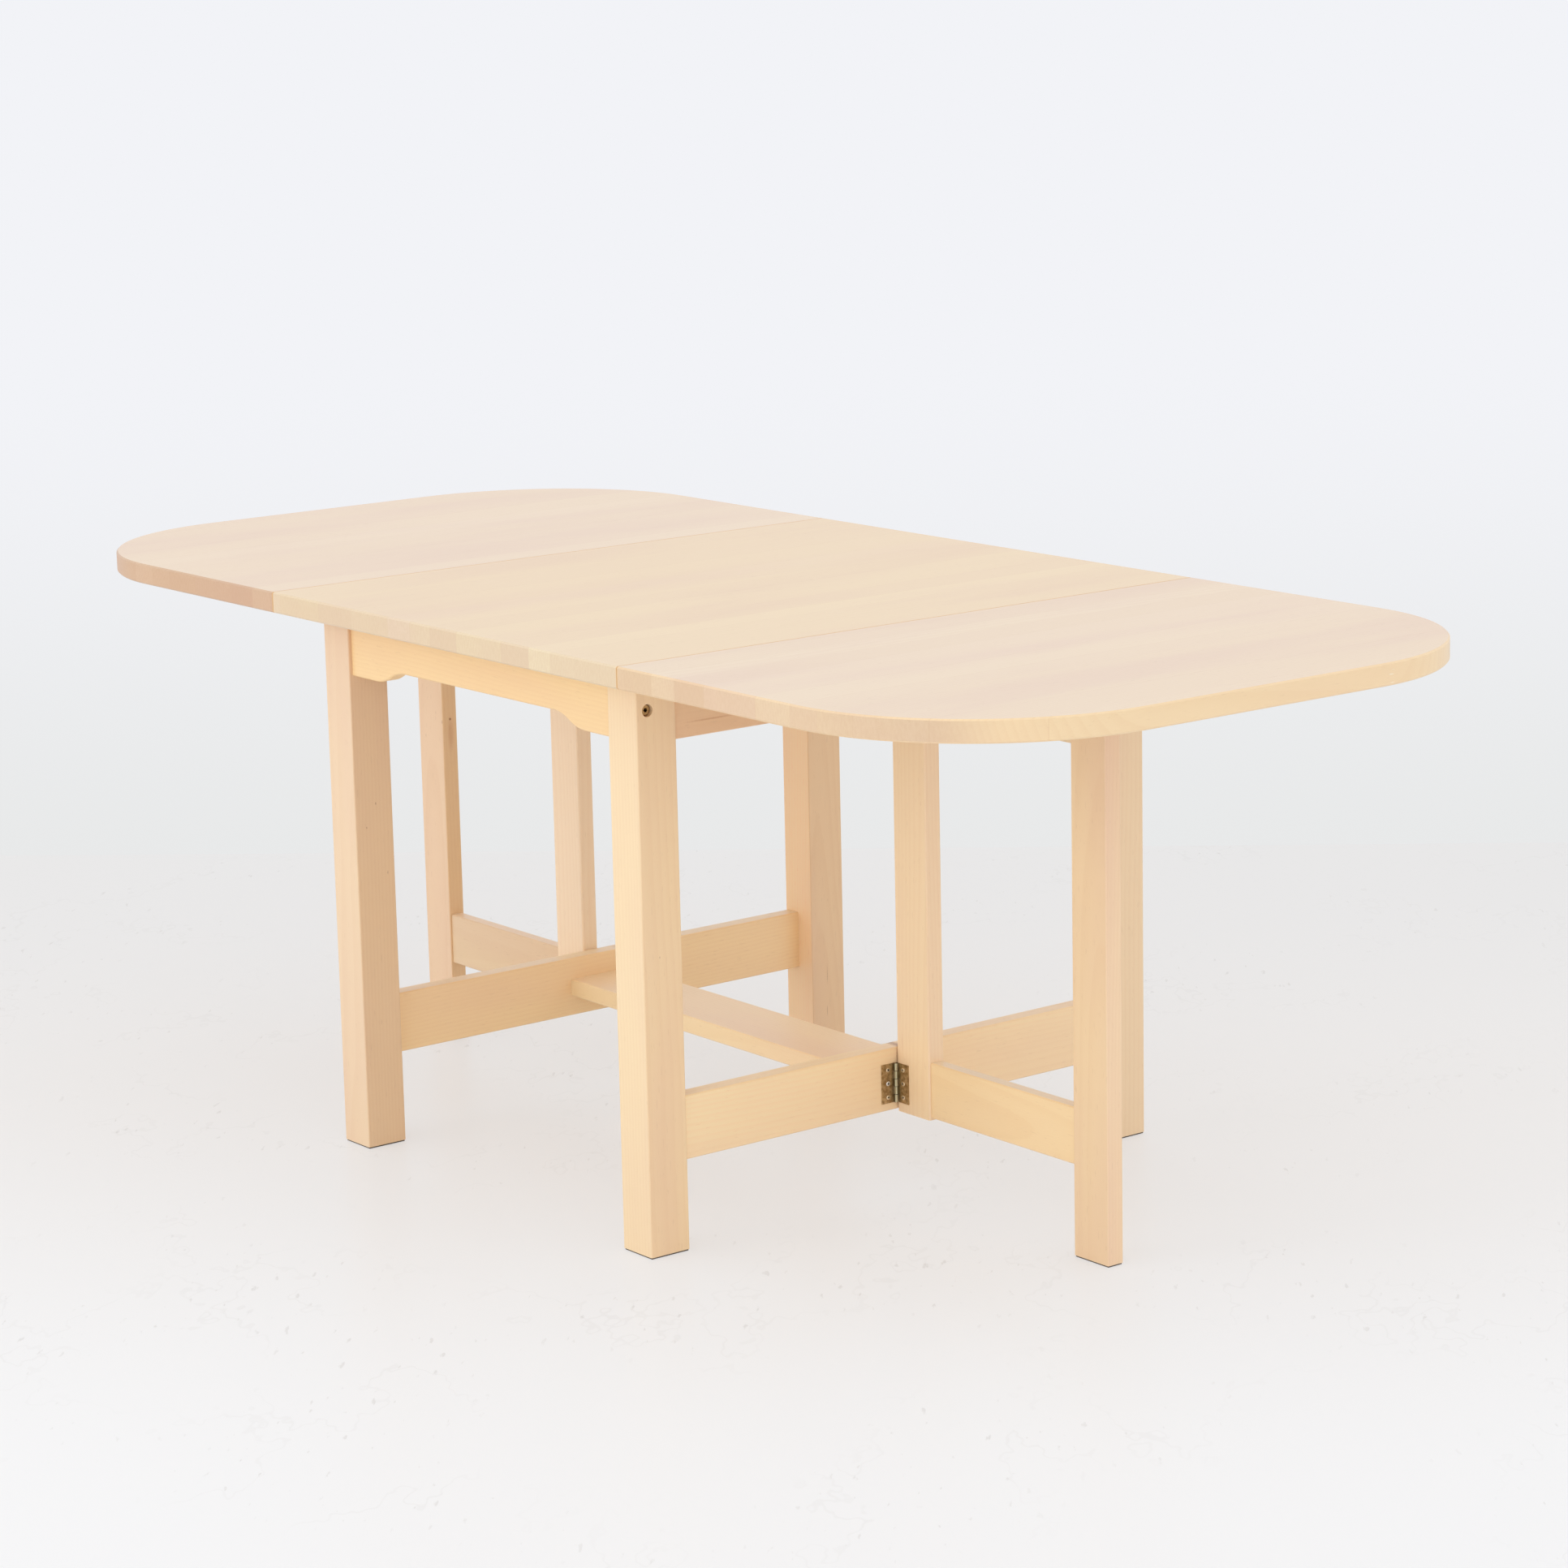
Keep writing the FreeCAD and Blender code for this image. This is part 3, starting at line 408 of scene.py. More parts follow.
    def _end_grain(self, graph: Graph) -> Signal:
        """1 on faces that look along the grain and 0 on those that look across it."""
        along = graph.parts(self._grain_space(graph, graph.facing()))[2]
        return graph.rise(graph.maths("ABSOLUTE", along), *self.end_level)

    def _share(self, end: Signal, shares: tuple[float, float]) -> Signal:
        """The first of two shares on long grain, and the second on end grain."""
        on_long, on_end = shares
        return on_long + end * (on_end - on_long)

    def _seam_shaded(self, graph: Graph, colour: Signal) -> Signal:
        """Painted shade in a tan band beside a seam, on the gap's walls and arrises. A seam is a
        plane across X on both sides.
        """
        if not self.seam:
            return colour
        from_seam = graph.maths("ABSOLUTE", graph.parts(graph.place())[0]) - self.seam * MM
        low, high = (reach * MM for reach in self.seam_band)
        near = 1.0 - graph.rise(graph.maths("ABSOLUTE", from_seam), low, high)
        return graph.blend(near * 0.75, colour, self.seam_shade_tan)

    def surface(self, graph: Graph) -> Signal:
        """Rings, fibres, flecks, staves and end grain under a clear coat."""
        point = self._grain_space(graph, graph.place())
        end = self._end_grain(graph)
        shift: Number = 0.0
        if self.stave:
            number, glue_line = self._staves(graph, graph.parts(point)[0])
            own = graph.scatter(number + self.number * 17.0)
            shift = own * 0.9
        late = self._rings(graph, point, shift)
        fibre = graph.noise(point * self.fibre_waves, 2, 0.6)
        fleck = self.fleck.share(graph, point)
        patch = self.patch.share(graph, point, self.number * 1.9)
        colour = graph.blend(late * self._share(end, self.late_shares), self.pale, self.late)
        colour = graph.blend(patch * 0.5, colour, self.rosy)
        colour = graph.blend((fibre - 0.35) * 0.13, colour, self.tan)
        colour = graph.blend(fleck * self._share(end, self.fleck_shares), colour, self.dark)
        if self.stave:
            colour = graph.blend(own * self._share(end, self.own_shares), colour, self.rosy)
            second = graph.scatter(number + self.number * 5.0 + 0.5)
            colour = graph.blend(second * self._share(end, self.second_shares), colour, self.tan)
            colour = graph.blend(glue_line * 0.35, colour, self.tan)
        rough = self.pores.share(graph, point) + self.saw.share(graph, point)
        colour = graph.blend(end * (0.12 + rough * 0.16), colour, self.tan)
        # Piece, side and end-grain tones: partly the wood's colour, partly painted light, shade and
        # sheen.
        colour = self._marked(graph, point, colour) * self._wood_and_light_tone(graph)
        colour = graph.blend(end, colour, colour * self.end_grain_and_light_tone)
        # Painted shade along the seams.
        colour = self._seam_shaded(graph, colour)
        return graph.node(
            "ShaderNodeBsdfPrincipled",
            sockets={
                "Base Color": colour,
                "Roughness": 0.36 + fibre * 0.10 + end * 0.12,
                "IOR": 1.48,
                "Coat Weight": 0.25,
                "Coat Roughness": 0.24,
                "Normal": graph.bump(fibre + late * 0.3, self.fibre_depth),
            },
        )


class Axis(Enum):
    """Where a hinge's pin lies: upright beside a gate post, or along a seam."""

    GATE = "gate"
    SEAM = "seam"


@dataclass(frozen=True)
class BronzedHinge(Finish):
    """Antique bronze plates, mottled and darker beside the knuckles, on a paler brass barrel.

    Soot fades between two distances from the pin, counted in the barrel's radius. Painted shade
    darkens the joints where knuckles meet; a joint's width is counted in knuckles.
    """

    name: str
    axis: Axis
    gate_pin: tuple[float, float] = (337.8, -16.8)
    gate_middles: tuple[float, float] = (147.0, 662.0)
    gate_knuckle: float = 10.0
    seam_pin: tuple[float, float] = (375.0, 701.4)
    barrel: float = 2.55
    brown_level: tuple[float, float] = (0.36, 0.66)
    worn_level: tuple[float, float] = (0.5, 0.75)
    soot_reach: tuple[float, float] = (1.2, 3.2)
    soot: float = 0.7
    joint_shade: float = 0.6
    joint_width: tuple[float, float] = (0.035, 0.06)
    speck: Speckle = Speckle((900.0, 900.0, 900.0), 2, 0.60, 0.72)
    plate: Colour = shade(208, 184, 144)
    brown: Colour = shade(162, 136, 98)
    brass: Colour = shade(206, 200, 166)
    # Dark bronze beside the pin, also the painted shade in the knuckles' joints.
    soot_and_joint_shade: Colour = shade(74, 56, 34)

    def _from_pin(self, graph: Graph) -> Signal:
        """Distance from the nearest pin's axis. Each pin has a twin half a turn about Z away."""
        x, y, z = graph.parts(graph.place())
        if self.axis is Axis.GATE:
            side = graph.maths("SIGN", x)
            first = side * x - self.gate_pin[0] * MM
            second = side * y - self.gate_pin[1] * MM
        else:
            first = graph.maths("ABSOLUTE", x) - self.seam_pin[0] * MM
            second = z - self.seam_pin[1] * MM
        return (first * first + second * second) ** 0.5

    def _joint_shade_share(self, graph: Graph) -> "Number":
        """Painted shade: 1 where two knuckles of a gate hinge meet, and 0 along them and on a seam
        hinge.
        """
        if self.axis is not Axis.GATE:
            return 0.0
        height = graph.parts(graph.place())[2]
        below, above = (
            graph.maths("ABSOLUTE", height - middle * MM) for middle in self.gate_middles
        )
        knuckles = graph.maths("MINIMUM", below, above) / (self.gate_knuckle * MM)
        from_joint = graph.maths("ABSOLUTE", graph.maths("FRACT", knuckles) - 0.5)
        return 1.0 - graph.rise(from_joint, *self.joint_width)

    def surface(self, graph: Graph) -> Signal:
        """Mottled bronze with a pale barrel, with painted shade in its joints."""
        radius = self._from_pin(graph)
        mottle = graph.noise(graph.place() * 190.0, 4, 0.62)
        speck = self.speck.share(graph, graph.place())
        colour = graph.blend(graph.rise(mottle, *self.brown_level), self.plate, self.brown)
        low, high = (self.barrel * MM * reach for reach in self.soot_reach)
        near = 1.0 - graph.rise(radius, low, high)
        colour = graph.blend(near * self.soot, colour, self.soot_and_joint_shade)
        barrel = 1.0 - graph.rise(radius, self.barrel * MM, self.barrel * MM * 1.06)
        worn = graph.blend(graph.rise(mottle, *self.worn_level) * 0.55, self.brass, self.plate)
        # Painted shade in the joints between knuckles.
        worn = graph.blend(self._joint_shade_share(graph) * self.joint_shade, worn, self.soot_and_joint_shade)
        colour = graph.blend(barrel, graph.blend(speck * 0.5, colour, self.brown), worn)
        return graph.node(
            "ShaderNodeBsdfPrincipled",
            sockets={
                "Base Color": colour,
                "Metallic": 1.0,
                "Roughness": 0.34 + mottle * 0.22 - barrel * 0.08,
                "Normal": graph.bump(mottle, 0.00004),
            },
        )


@dataclass(frozen=True)
class TurnedMetal(Finish):
    """Plated metal of a screw, bolt, pin or bracket: a base colour with tarnish in soft patches."""

    name: str
    bright: Colour
    tarnish: Colour
    tarnished: float = 0.5
    roughness: float = 0.28
    sockets_at: tuple[float, float] | None = None
    socket_radius: float = 2.6
    patch_level: tuple[float, float] = (0.40, 0.70)
    shadow: Colour = shade(36, 27, 20)

    def _in_sockets(self, graph: Graph, colour: Signal) -> Signal:
        """Darkens the sockets of bolts along X, whose axes lie at the same height at y and -y."""
        if self.sockets_at is None:
            return colour
        _, y, z = graph.parts(graph.place())
        from_y = graph.maths("ABSOLUTE", y) - self.sockets_at[0] * MM
        from_z = z - self.sockets_at[1] * MM
        radius = (from_y * from_y + from_z * from_z) ** 0.5
        reach = self.socket_radius * MM
        return graph.blend(1.0 - graph.rise(radius, reach * 0.94, reach), colour, self.shadow)

    def surface(self, graph: Graph) -> Signal:
        """Patches of tarnish from two sizes of noise."""
        point = graph.place()
        patch = graph.noise(point * 420.0, 3, 0.6)
        fine = graph.noise(point * 2400.0, 1)
        share = graph.rise(patch, *self.patch_level) * self.tarnished
        colour = graph.blend(share, self.bright, self.tarnish)
        return graph.node(
            "ShaderNodeBsdfPrincipled",
            sockets={
                "Base Color": self._in_sockets(graph, colour),
                "Metallic": 1.0,
                "Roughness": self.roughness + patch * 0.15,
                "Normal": graph.bump(fine, 0.00001),
            },
        )


@dataclass(frozen=True)
class PressedFelt(Finish):
    """Grey-brown felt: tangled fibres as two crossed noises drawn out in different directions."""

    name: str = "pressed_felt"
    thread: Colour = shade(112, 102, 92)
    hollow: Colour = shade(66, 59, 53)

    def surface(self, graph: Graph) -> Signal:
        """Fibre tops paler than the hollows between them."""
        point = graph.place()
        first = graph.noise(point * (2600.0, 500.0, 900.0), 2)
        second = graph.noise(point * (500.0, 2600.0, 900.0), 2)
        fibres = graph.maths("MAXIMUM", first, second)
        return graph.node(
            "ShaderNodeBsdfPrincipled",
            sockets={
                "Base Color": graph.blend(graph.rise(fibres, 0.4, 0.7), self.hollow, self.thread),
                "Roughness": 0.95,
                "Normal": graph.bump(fibres, 0.0002),
            },
        )


def dress(node: str, finish: Finish) -> None:
    """Gives a node of the frame its finish."""
    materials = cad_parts[node].data.materials
    materials.clear()
    materials.append(finish.material())
    LOG.info("dressed %s in %s", node, finish.name)


def middle_of(node: str) -> tuple[float, float, float]:
    """The middle of a node's box, in millimetres."""
    low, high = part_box(node)
    return tuple((low + high) / 2 / MM)


@dataclass(frozen=True)
class Stock:
    """A piece of wood in the table: the node, the way that its grain runs and what is set in it."""

    node: str
    grain: Grain
    stave: float = 0.0
    marks: tuple[Mark, ...] = ()
    seam: float = 0.0
    # Tones: partly the wood's own colour, partly painted light and shade by facing.
    tone: Tone = PLAIN
    painted_side_tone: Tone | None = None
    face_axis: int = 2
    end_grain_and_light_tone: Tone = PLAIN

    def dress(self, number: int) -> None:
        """Finishes the piece, with a number that sets its rings and tints."""
        looks = {name: value for name, value in vars(self).items() if name != "node"}
        name, middle = f"{self.node}_wood", middle_of(self.node)
        dress(self.node, LacqueredWood(name=name, number=number, middle=middle, **looks))


@dataclass
class Top:
    """Centre panel, two leaves and their stop blocks, glued up from staves across the table."""

    stave: float = 62.0
    seam: float = 375.0
    worn: Colour = shade(255, 252, 246)

    def _panel(
        self, node: str, tone: Tone, edge: Tone, end: Tone, marks: tuple[Mark, ...] = ()
    ) -> Stock:
        """A panel of staves, with the tones of its face and edge, and what its end grain adds.
        These tones are partly the wood's colour and partly painted light: a painted sheen on the
        face, and painted light and shade on the edges.
        """
        return Stock(
            node, Grain.ALONG_Y, self.stave, marks, self.seam, tone, edge, end_grain_and_light_tone=end
        )

    def build(self, first_number: int) -> None:
        """Dresses the panels and the blocks. One leaf has four pale chips in its far edge."""
        chips = tuple(
            Mark((975.0, y, z), 13.0, 1.5, 0.9, self.worn)
            for y, z in ((198.0, 721.4), (194.0, 716.4), (200.0, 712.3), (196.0, 706.8))
        )
        stock = (
            # Face, edge and end-grain tones: partly wood colour, partly painted light and shade by
            # facing.
            self._panel("top_centre", (0.995, 1.005, 1.022), (0.955, 1.037, 1.123), PLAIN),
            self._panel(
                "leaf_right_panel",
                (0.985, 1.022, 1.165),
                (1.076, 1.06, 1.015),
                (0.875, 0.896, 0.97),
                chips,
            ),
            self._panel(
                "leaf_left_panel",
                (0.975, 1.006, 1.150),
                (0.737, 0.669, 0.680),
                (1.09, 1.08, 1.08),
            ),
            Stock("leaf_right_stop_block", Grain.ALONG_X),
            Stock("leaf_left_stop_block", Grain.ALONG_X),
        )
        for number, piece in enumerate(stock, first_number):
            piece.dress(number)


@dataclass
class FixedFrame:
    """Four legs, aprons, cross aprons, lower rails and the stretcher board, with their dowels."""

    def _leg(self, end: str, front: Tone, side: Tone, marks: tuple[Mark, ...] = ()) -> Stock:
        """A leg by its end of the table, with the tones of its front and of its sides, which paint
        light and shade by facing over the wood's own colour.
        """
        name = f"leg_{end}"
        return Stock(name, Grain.ALONG_Z, marks=marks, tone=front, painted_side_tone=side, face_axis=1)

    def _rail(self, side: str, top: Tone, upright: Tone, marks: tuple[Mark, ...] = ()) -> Stock:
        """A lower rail, with the tones of its top and of its upright faces: painted light by
        facing, with a painted sheen on the top.
        """
        name = f"lower_rail_{side}"
        return Stock(name, Grain.ALONG_Y, marks=marks, tone=top, painted_side_tone=upright)

    def _board(self, top: Tone, upright: Tone) -> Stock:
        """The stretcher board, with the tones of its top and of its upright faces: painted light by
        facing, with a painted sheen on the top.
        """
        return Stock("stretcher_board", Grain.ALONG_X, tone=top, painted_side_tone=upright)

    def build(self, first_number: int) -> None:
        """Dresses the fixed wood, with the knots that show in it and a painted shadow on the right
        rail in the gap behind the gate post.
        """
        knots = (
            Mark((-282.0, -366.5, 455.9), 5.0, 2.2),
            Mark((-282.0, -381.5, 426.1), 4.0, 1.8),
            Mark((-282.0, -352.3, 362.7), 6.0, 1.6),
        )
        pinhole = (Mark((339.0, -373.9, 367.3), 4.0, 1.8, 0.5),)
        dashes = (
            Mark((-282.0, 367.5, 102.6), 34.0, 1.2, 0.5),
            Mark((-282.0, 366.4, 50.0), 20.0, 1.2, 0.5),
        )
        # Painted shadow: the right rail's face darkened where it lies in the gap behind the gate
        # post.
        painted_gap_shadow = (Mark((335.0, -6.0, 151.0), 17.0, 150.0, 0.9, shade(124, 66, 36)),)
        streak = (Mark((335.0, -286.0, 642.0), 90.0, 3.0, 0.4, shade(190, 128, 78)),)
        stock = (
            # Tones by piece and by facing: partly the wood's colour, partly painted light and
            # shade.
            self._leg("front_left", (0.995, 0.96, 0.995), (0.965, 0.887, 0.874), knots),
            self._leg("front_right", (1.065, 1.06, 1.045), (1.095, 1.06, 1.025), pinhole),
            self._leg("back_left", (1.2, 1.15, 1.15), (0.99, 0.92, 0.90), dashes),
            self._leg("back_right", (0.975, 0.96, 0.92), (1.07, 1.05, 1.08)),
            Stock("apron_front", Grain.ALONG_X, tone=(1.09, 1.01, 0.83)),
            Stock("apron_back", Grain.ALONG_X, tone=(1.09, 1.01, 0.83)),
            Stock("cross_apron_left", Grain.ALONG_Y, tone=(1.06, 0.95, 0.87)),
            Stock("cross_apron_right", Grain.ALONG_Y, tone=(1.06, 0.95, 0.87), marks=streak),
            self._rail("left", (1.085, 1.155, 1.27), (1.15, 1.10, 1.0)),
            self._rail("right", (1.15, 1.22, 1.30), (1.185, 1.19, 1.145), painted_gap_shadow),
            self._board((1.155, 1.22, 1.35), (1.145, 1.17, 1.12)),
            Stock("apron_dowels", Grain.ALONG_X),
            Stock("board_dowels", Grain.ALONG_X),
        )
        for number, piece in enumerate(stock, first_number):
            piece.dress(number)


@dataclass
class Gates:
    """The two gates: a hinged post, a leg, and an upper and a lower rail between them."""

    def _upright(
        self, name: str, front: Tone, side: Tone, marks: tuple[Mark, ...] = ()
    ) -> Stock:
        """A post or a leg, with the tones of its front and of its sides, which paint light and
        shade by facing over the wood's own colour.
        """
        node = f"gate_{name}"
        return Stock(node, Grain.ALONG_Z, marks=marks, tone=front, painted_side_tone=side, face_axis=1)

    def _rail(self, side: str, top: Tone, upright: Tone) -> Stock:
        """A gate's lower rail, with the tones of its top and of its upright faces: painted light by
        facing, with a painted sheen on the top.
        """
        return Stock(f"gate_{side}_lower_rail", Grain.ALONG_X, tone=top, painted_side_tone=upright)

    def build(self, first_number: int) -> None:
        """Dresses both gates, with a crack in one post and the knots in one leg."""
        crack = (Mark((347.6, -14.0, 199.0), 34.0, 1.0, 0.5, shade(196, 132, 80)),)
        knots = (
            Mark((-679.4, -10.0, 472.2), 7.0, 1.6, 0.35),
            Mark((-664.4, -10.0, 460.5), 7.0, 2.4, 0.45),
            Mark((-663.0, 2.7, 463.5), 5.0, 4.4, 0.95, shade(132, 70, 40)),
            Mark((-663.0, 3.0, 442.0), 60.0, 12.0, 0.35, shade(196, 140, 96)),
            Mark((-706.7, -10.0, 435.8), 7.0, 2.2, 0.3),
        )
        # Tones by piece and by facing: partly the wood's colour, partly painted light and shade.
        stock = (
            self._upright("right_post", (1.13, 1.12, 1.12), (1.125, 1.09, 1.14), crack),
            self._upright("right_leg", (1.035, 1.005, 0.97), (1.105, 1.05, 1.07)),
            Stock("gate_right_upper_rail", Grain.ALONG_X),
            self._rail("right", (1.025, 1.09, 1.225), (1.10, 1.07, 0.98)),
            self._upright("left_post", (1.11, 1.125, 1.25), (1.11, 1.125, 1.25)),
            self._upright("left_leg", (1.005, 0.94, 0.985), (0.965, 0.88, 0.81), knots),
            Stock("gate_left_upper_rail", Grain.ALONG_X),
            self._rail("left", (1.085, 1.15, 1.245), (0.97, 0.96, 0.94)),
        )
        for number, piece in enumerate(stock, first_number):
            piece.dress(number)


BRONZED_GATE_HINGE = BronzedHinge("bronzed_gate_hinge", Axis.GATE)
BRONZED_SEAM_HINGE = BronzedHinge("bronzed_seam_hinge", Axis.SEAM)
HINGE_PIN = TurnedMetal("hinge_pin_brass", shade(112, 94, 62), shade(66, 50, 30))
BOLT_BRONZE = TurnedMetal(
    "bolt_bronze", shade(186, 148, 98), shade(122, 88, 52), 0.7, 0.30, sockets_at=(382.0, 664.5)
)
SCREW_BRASS = TurnedMetal("screw_brass", shade(242, 230, 204), shade(186, 156, 112), 0.5, 0.24)
SCREW_STEEL = TurnedMetal("screw_steel", shade(242, 244, 246), shade(180, 182, 184), 0.4, 0.22)
RECESS_SHADOW = TurnedMetal("recess_shadow", shade(70, 58, 46), shade(50, 40, 30), 0.5, 0.50)
ZINC = TurnedMetal("zinc_plating", shade(206, 210, 212), shade(150, 152, 150), 0.6, 0.36)


@dataclass
class Fittings:
    """Hinges, their pins, sunk bolts with barrel nuts, and the brackets that hold the top."""

    def build(self) -> None:
        """Dresses the metal."""
        finishes = {
            BRONZED_GATE_HINGE: (
                "gate_hinge_frame_plates",
                "gate_right_hinge_plates",
                "gate_left_hinge_plates",
            ),
            BRONZED_SEAM_HINGE: (
                "seam_hinge_centre_plates",
                "leaf_right_hinge_plates",
                "leaf_left_hinge_plates",
            ),
            HINGE_PIN: ("gate_hinge_pins", "seam_hinge_pins"),
            BOLT_BRONZE: ("frame_bolts",),
            ZINC: ("barrel_nuts", "top_brackets"),
        }
        for finish, nodes in finishes.items():
            for node in nodes:
                dress(node, finish)


@dataclass
class Feet:
    """Felt under every leg."""

    nodes: tuple[str, ...] = ("frame_foot_pads", "gate_right_foot_pad", "gate_left_foot_pad")

    def build(self) -> None:
        """Dresses the pads."""
        for node in self.nodes:
            dress(node, PressedFelt())


def new_piece(
    name: str,
    points: np.ndarray,
    faces: list[list[int]],
    finishes: Sequence[Finish],
    choice: np.ndarray,
) -> bpy.types.Object:
    """A new object at the origin, with its place in its mesh.

    Args:
        name: the piece's name.
        points: its vertices in millimetres, one row each.
        faces: vertex numbers of each face, anticlockwise from outside.
        finishes: its finishes.
        choice: the number of each face's finish.

    Returns:
        The object, smooth shaded.
    """
    mesh = bpy.data.meshes.new(name)
    mesh.from_pydata((points * MM).tolist(), [], faces)
    mesh.polygons.foreach_set("use_smooth", np.ones(len(mesh.polygons), bool))
    for finish in finishes:
        mesh.materials.append(finish.material())
    mesh.polygons.foreach_set("material_index", choice)
    mesh.update()
    piece = bpy.data.objects.new(name, mesh)
    bpy.context.scene.collection.objects.link(piece)
    LOG.info("made %s with %d faces", name, len(faces))
    return piece


def soft_step(values: np.ndarray, start: float, end: float) -> np.ndarray:
    """0 below start, 1 above end, and t t (3 - 2 t) of the share t between them."""
    share = np.clip((values - start) / (end - start), 0, 1)
    return share * share * (3 - 2 * share)


@dataclass(frozen=True)
class ScrewHead:
    """An oval wood screw head with a cross recess, as a surface of angle and ring.

    From the middle outwards the height is a crown that falls with the square of the radius, less
    the depth of a cross of two bars with sloping walls. Then the rim drops into what it holds.
    """

    radius: float = 3.0
    crown: float = 1.05
    rim: float = 0.35
    sunk: float = 0.5
    bar_width: float = 0.72
    bar_reach: float = 1.80
    bar_depth: float = 0.95
    sides: int = 40
    rings: int = 12

    def recess(self, x: np.ndarray, y: np.ndarray) -> np.ndarray:
        """The cross's depth as a share: 1 in its bars and 0 on the crown."""
        bars = [
            (1 - soft_step(np.abs(a), self.bar_width * 0.45, self.bar_width))
            * (1 - soft_step(np.abs(b), self.bar_reach * 0.7, self.bar_reach))
            for a, b in ((x, y), (y, x))
        ]
        return np.maximum(*bars)

    def sunk_faces(self, points: np.ndarray, faces: list[list[int]]) -> np.ndarray:
        """1 for the faces whose middle lies in the cross, and 0 for the others."""
        middles = np.array([points[face].mean(0) for face in faces])
        inside = self.recess(middles[:, 0], middles[:, 1]) > 0.3
        return (inside & (middles[:, 2] > -self.sunk / 2)).astype(np.int32)

    def surface(self) -> tuple[np.ndarray, list[list[int]]]:
        """Vertices in millimetres, facing +Z, and faces of one closed head."""
        radii = self.radius * np.linspace(0, 1, self.rings + 1)[1:]
        angles = np.linspace(0, 2 * np.pi, self.sides, endpoint=False)
        x = radii[:, None] * np.cos(angles)
        y = radii[:, None] * np.sin(angles)
        bowl = self.rim + (self.crown - self.rim) * (1 - (radii[:, None] / self.radius) ** 2)
        z = bowl - self.bar_depth * self.recess(x, y)
        skirt = np.stack([x[-1], y[-1], np.full(self.sides, -self.sunk)], -1)
        rows = np.concatenate([np.stack([x, y, z], -1), skirt[None]])
        top, bottom = [0.0, 0.0, self.crown - self.bar_depth], [0.0, 0.0, -self.sunk]
        points = np.concatenate([[top], rows.reshape(-1, 3), [bottom]])
        number = 1 + np.arange((self.rings + 1) * self.sides).reshape(-1, self.sides)
        after = np.roll(number, -1, axis=1)
        quads = np.stack([number[:-1], number[1:], after[1:], after[:-1]], -1).reshape(-1, 4)
        centre = np.zeros(self.sides, int)
        fan = np.stack([centre, number[0], after[0]], -1)
        floor = np.stack([centre + len(points) - 1, after[-1], number[-1]], -1)
        return points, [*quads.tolist(), *fan.tolist(), *floor.tolist()]


@dataclass(frozen=True)
class ScrewRow:
    """Screws that go in the same way: the middles of their heads' seats and where they face."""

    middles: np.ndarray
    facing: tuple[float, float, float]

    def turned(self) -> "ScrewRow":
        """The same row half a turn about the table's upright axis."""
        half_turn = np.array([-1.0, -1.0, 1.0])
        return ScrewRow(self.middles * half_turn, tuple(np.array(self.facing) * half_turn))


def screw_points(rows: Sequence[ScrewRow], head: ScrewHead) -> tuple[np.ndarray, list[list[int]]]:
    """All heads of some rows as one mesh, each turned its own way in its hole.

    A head's own axes become a direction at right angles to its facing, turned by the head's own
    angle, the cross product of the facing with it, and the facing.
    """
    middles = np.concatenate([row.middles for row in rows])
    normal = np.concatenate([np.tile(row.facing, (len(row.middles), 1)) for row in rows])
    turn = np.arange(len(middles))[:, None] * GOLDEN_ANGLE
    side = np.roll(np.abs(normal), 1, axis=1)
    side = np.cos(turn) * side + np.sin(turn) * np.cross(normal, side)
    axes = np.stack([side, np.cross(normal, side), normal], 1)
    points, faces = head.surface()
    placed = np.einsum("vk,nkj->nvj", points, axes) + middles[:, None]
    starts = np.arange(len(middles)) * len(points)
    return placed.reshape(-1, 3), [
        [corner + int(start) for corner in face] for start in starts for face in faces
    ]


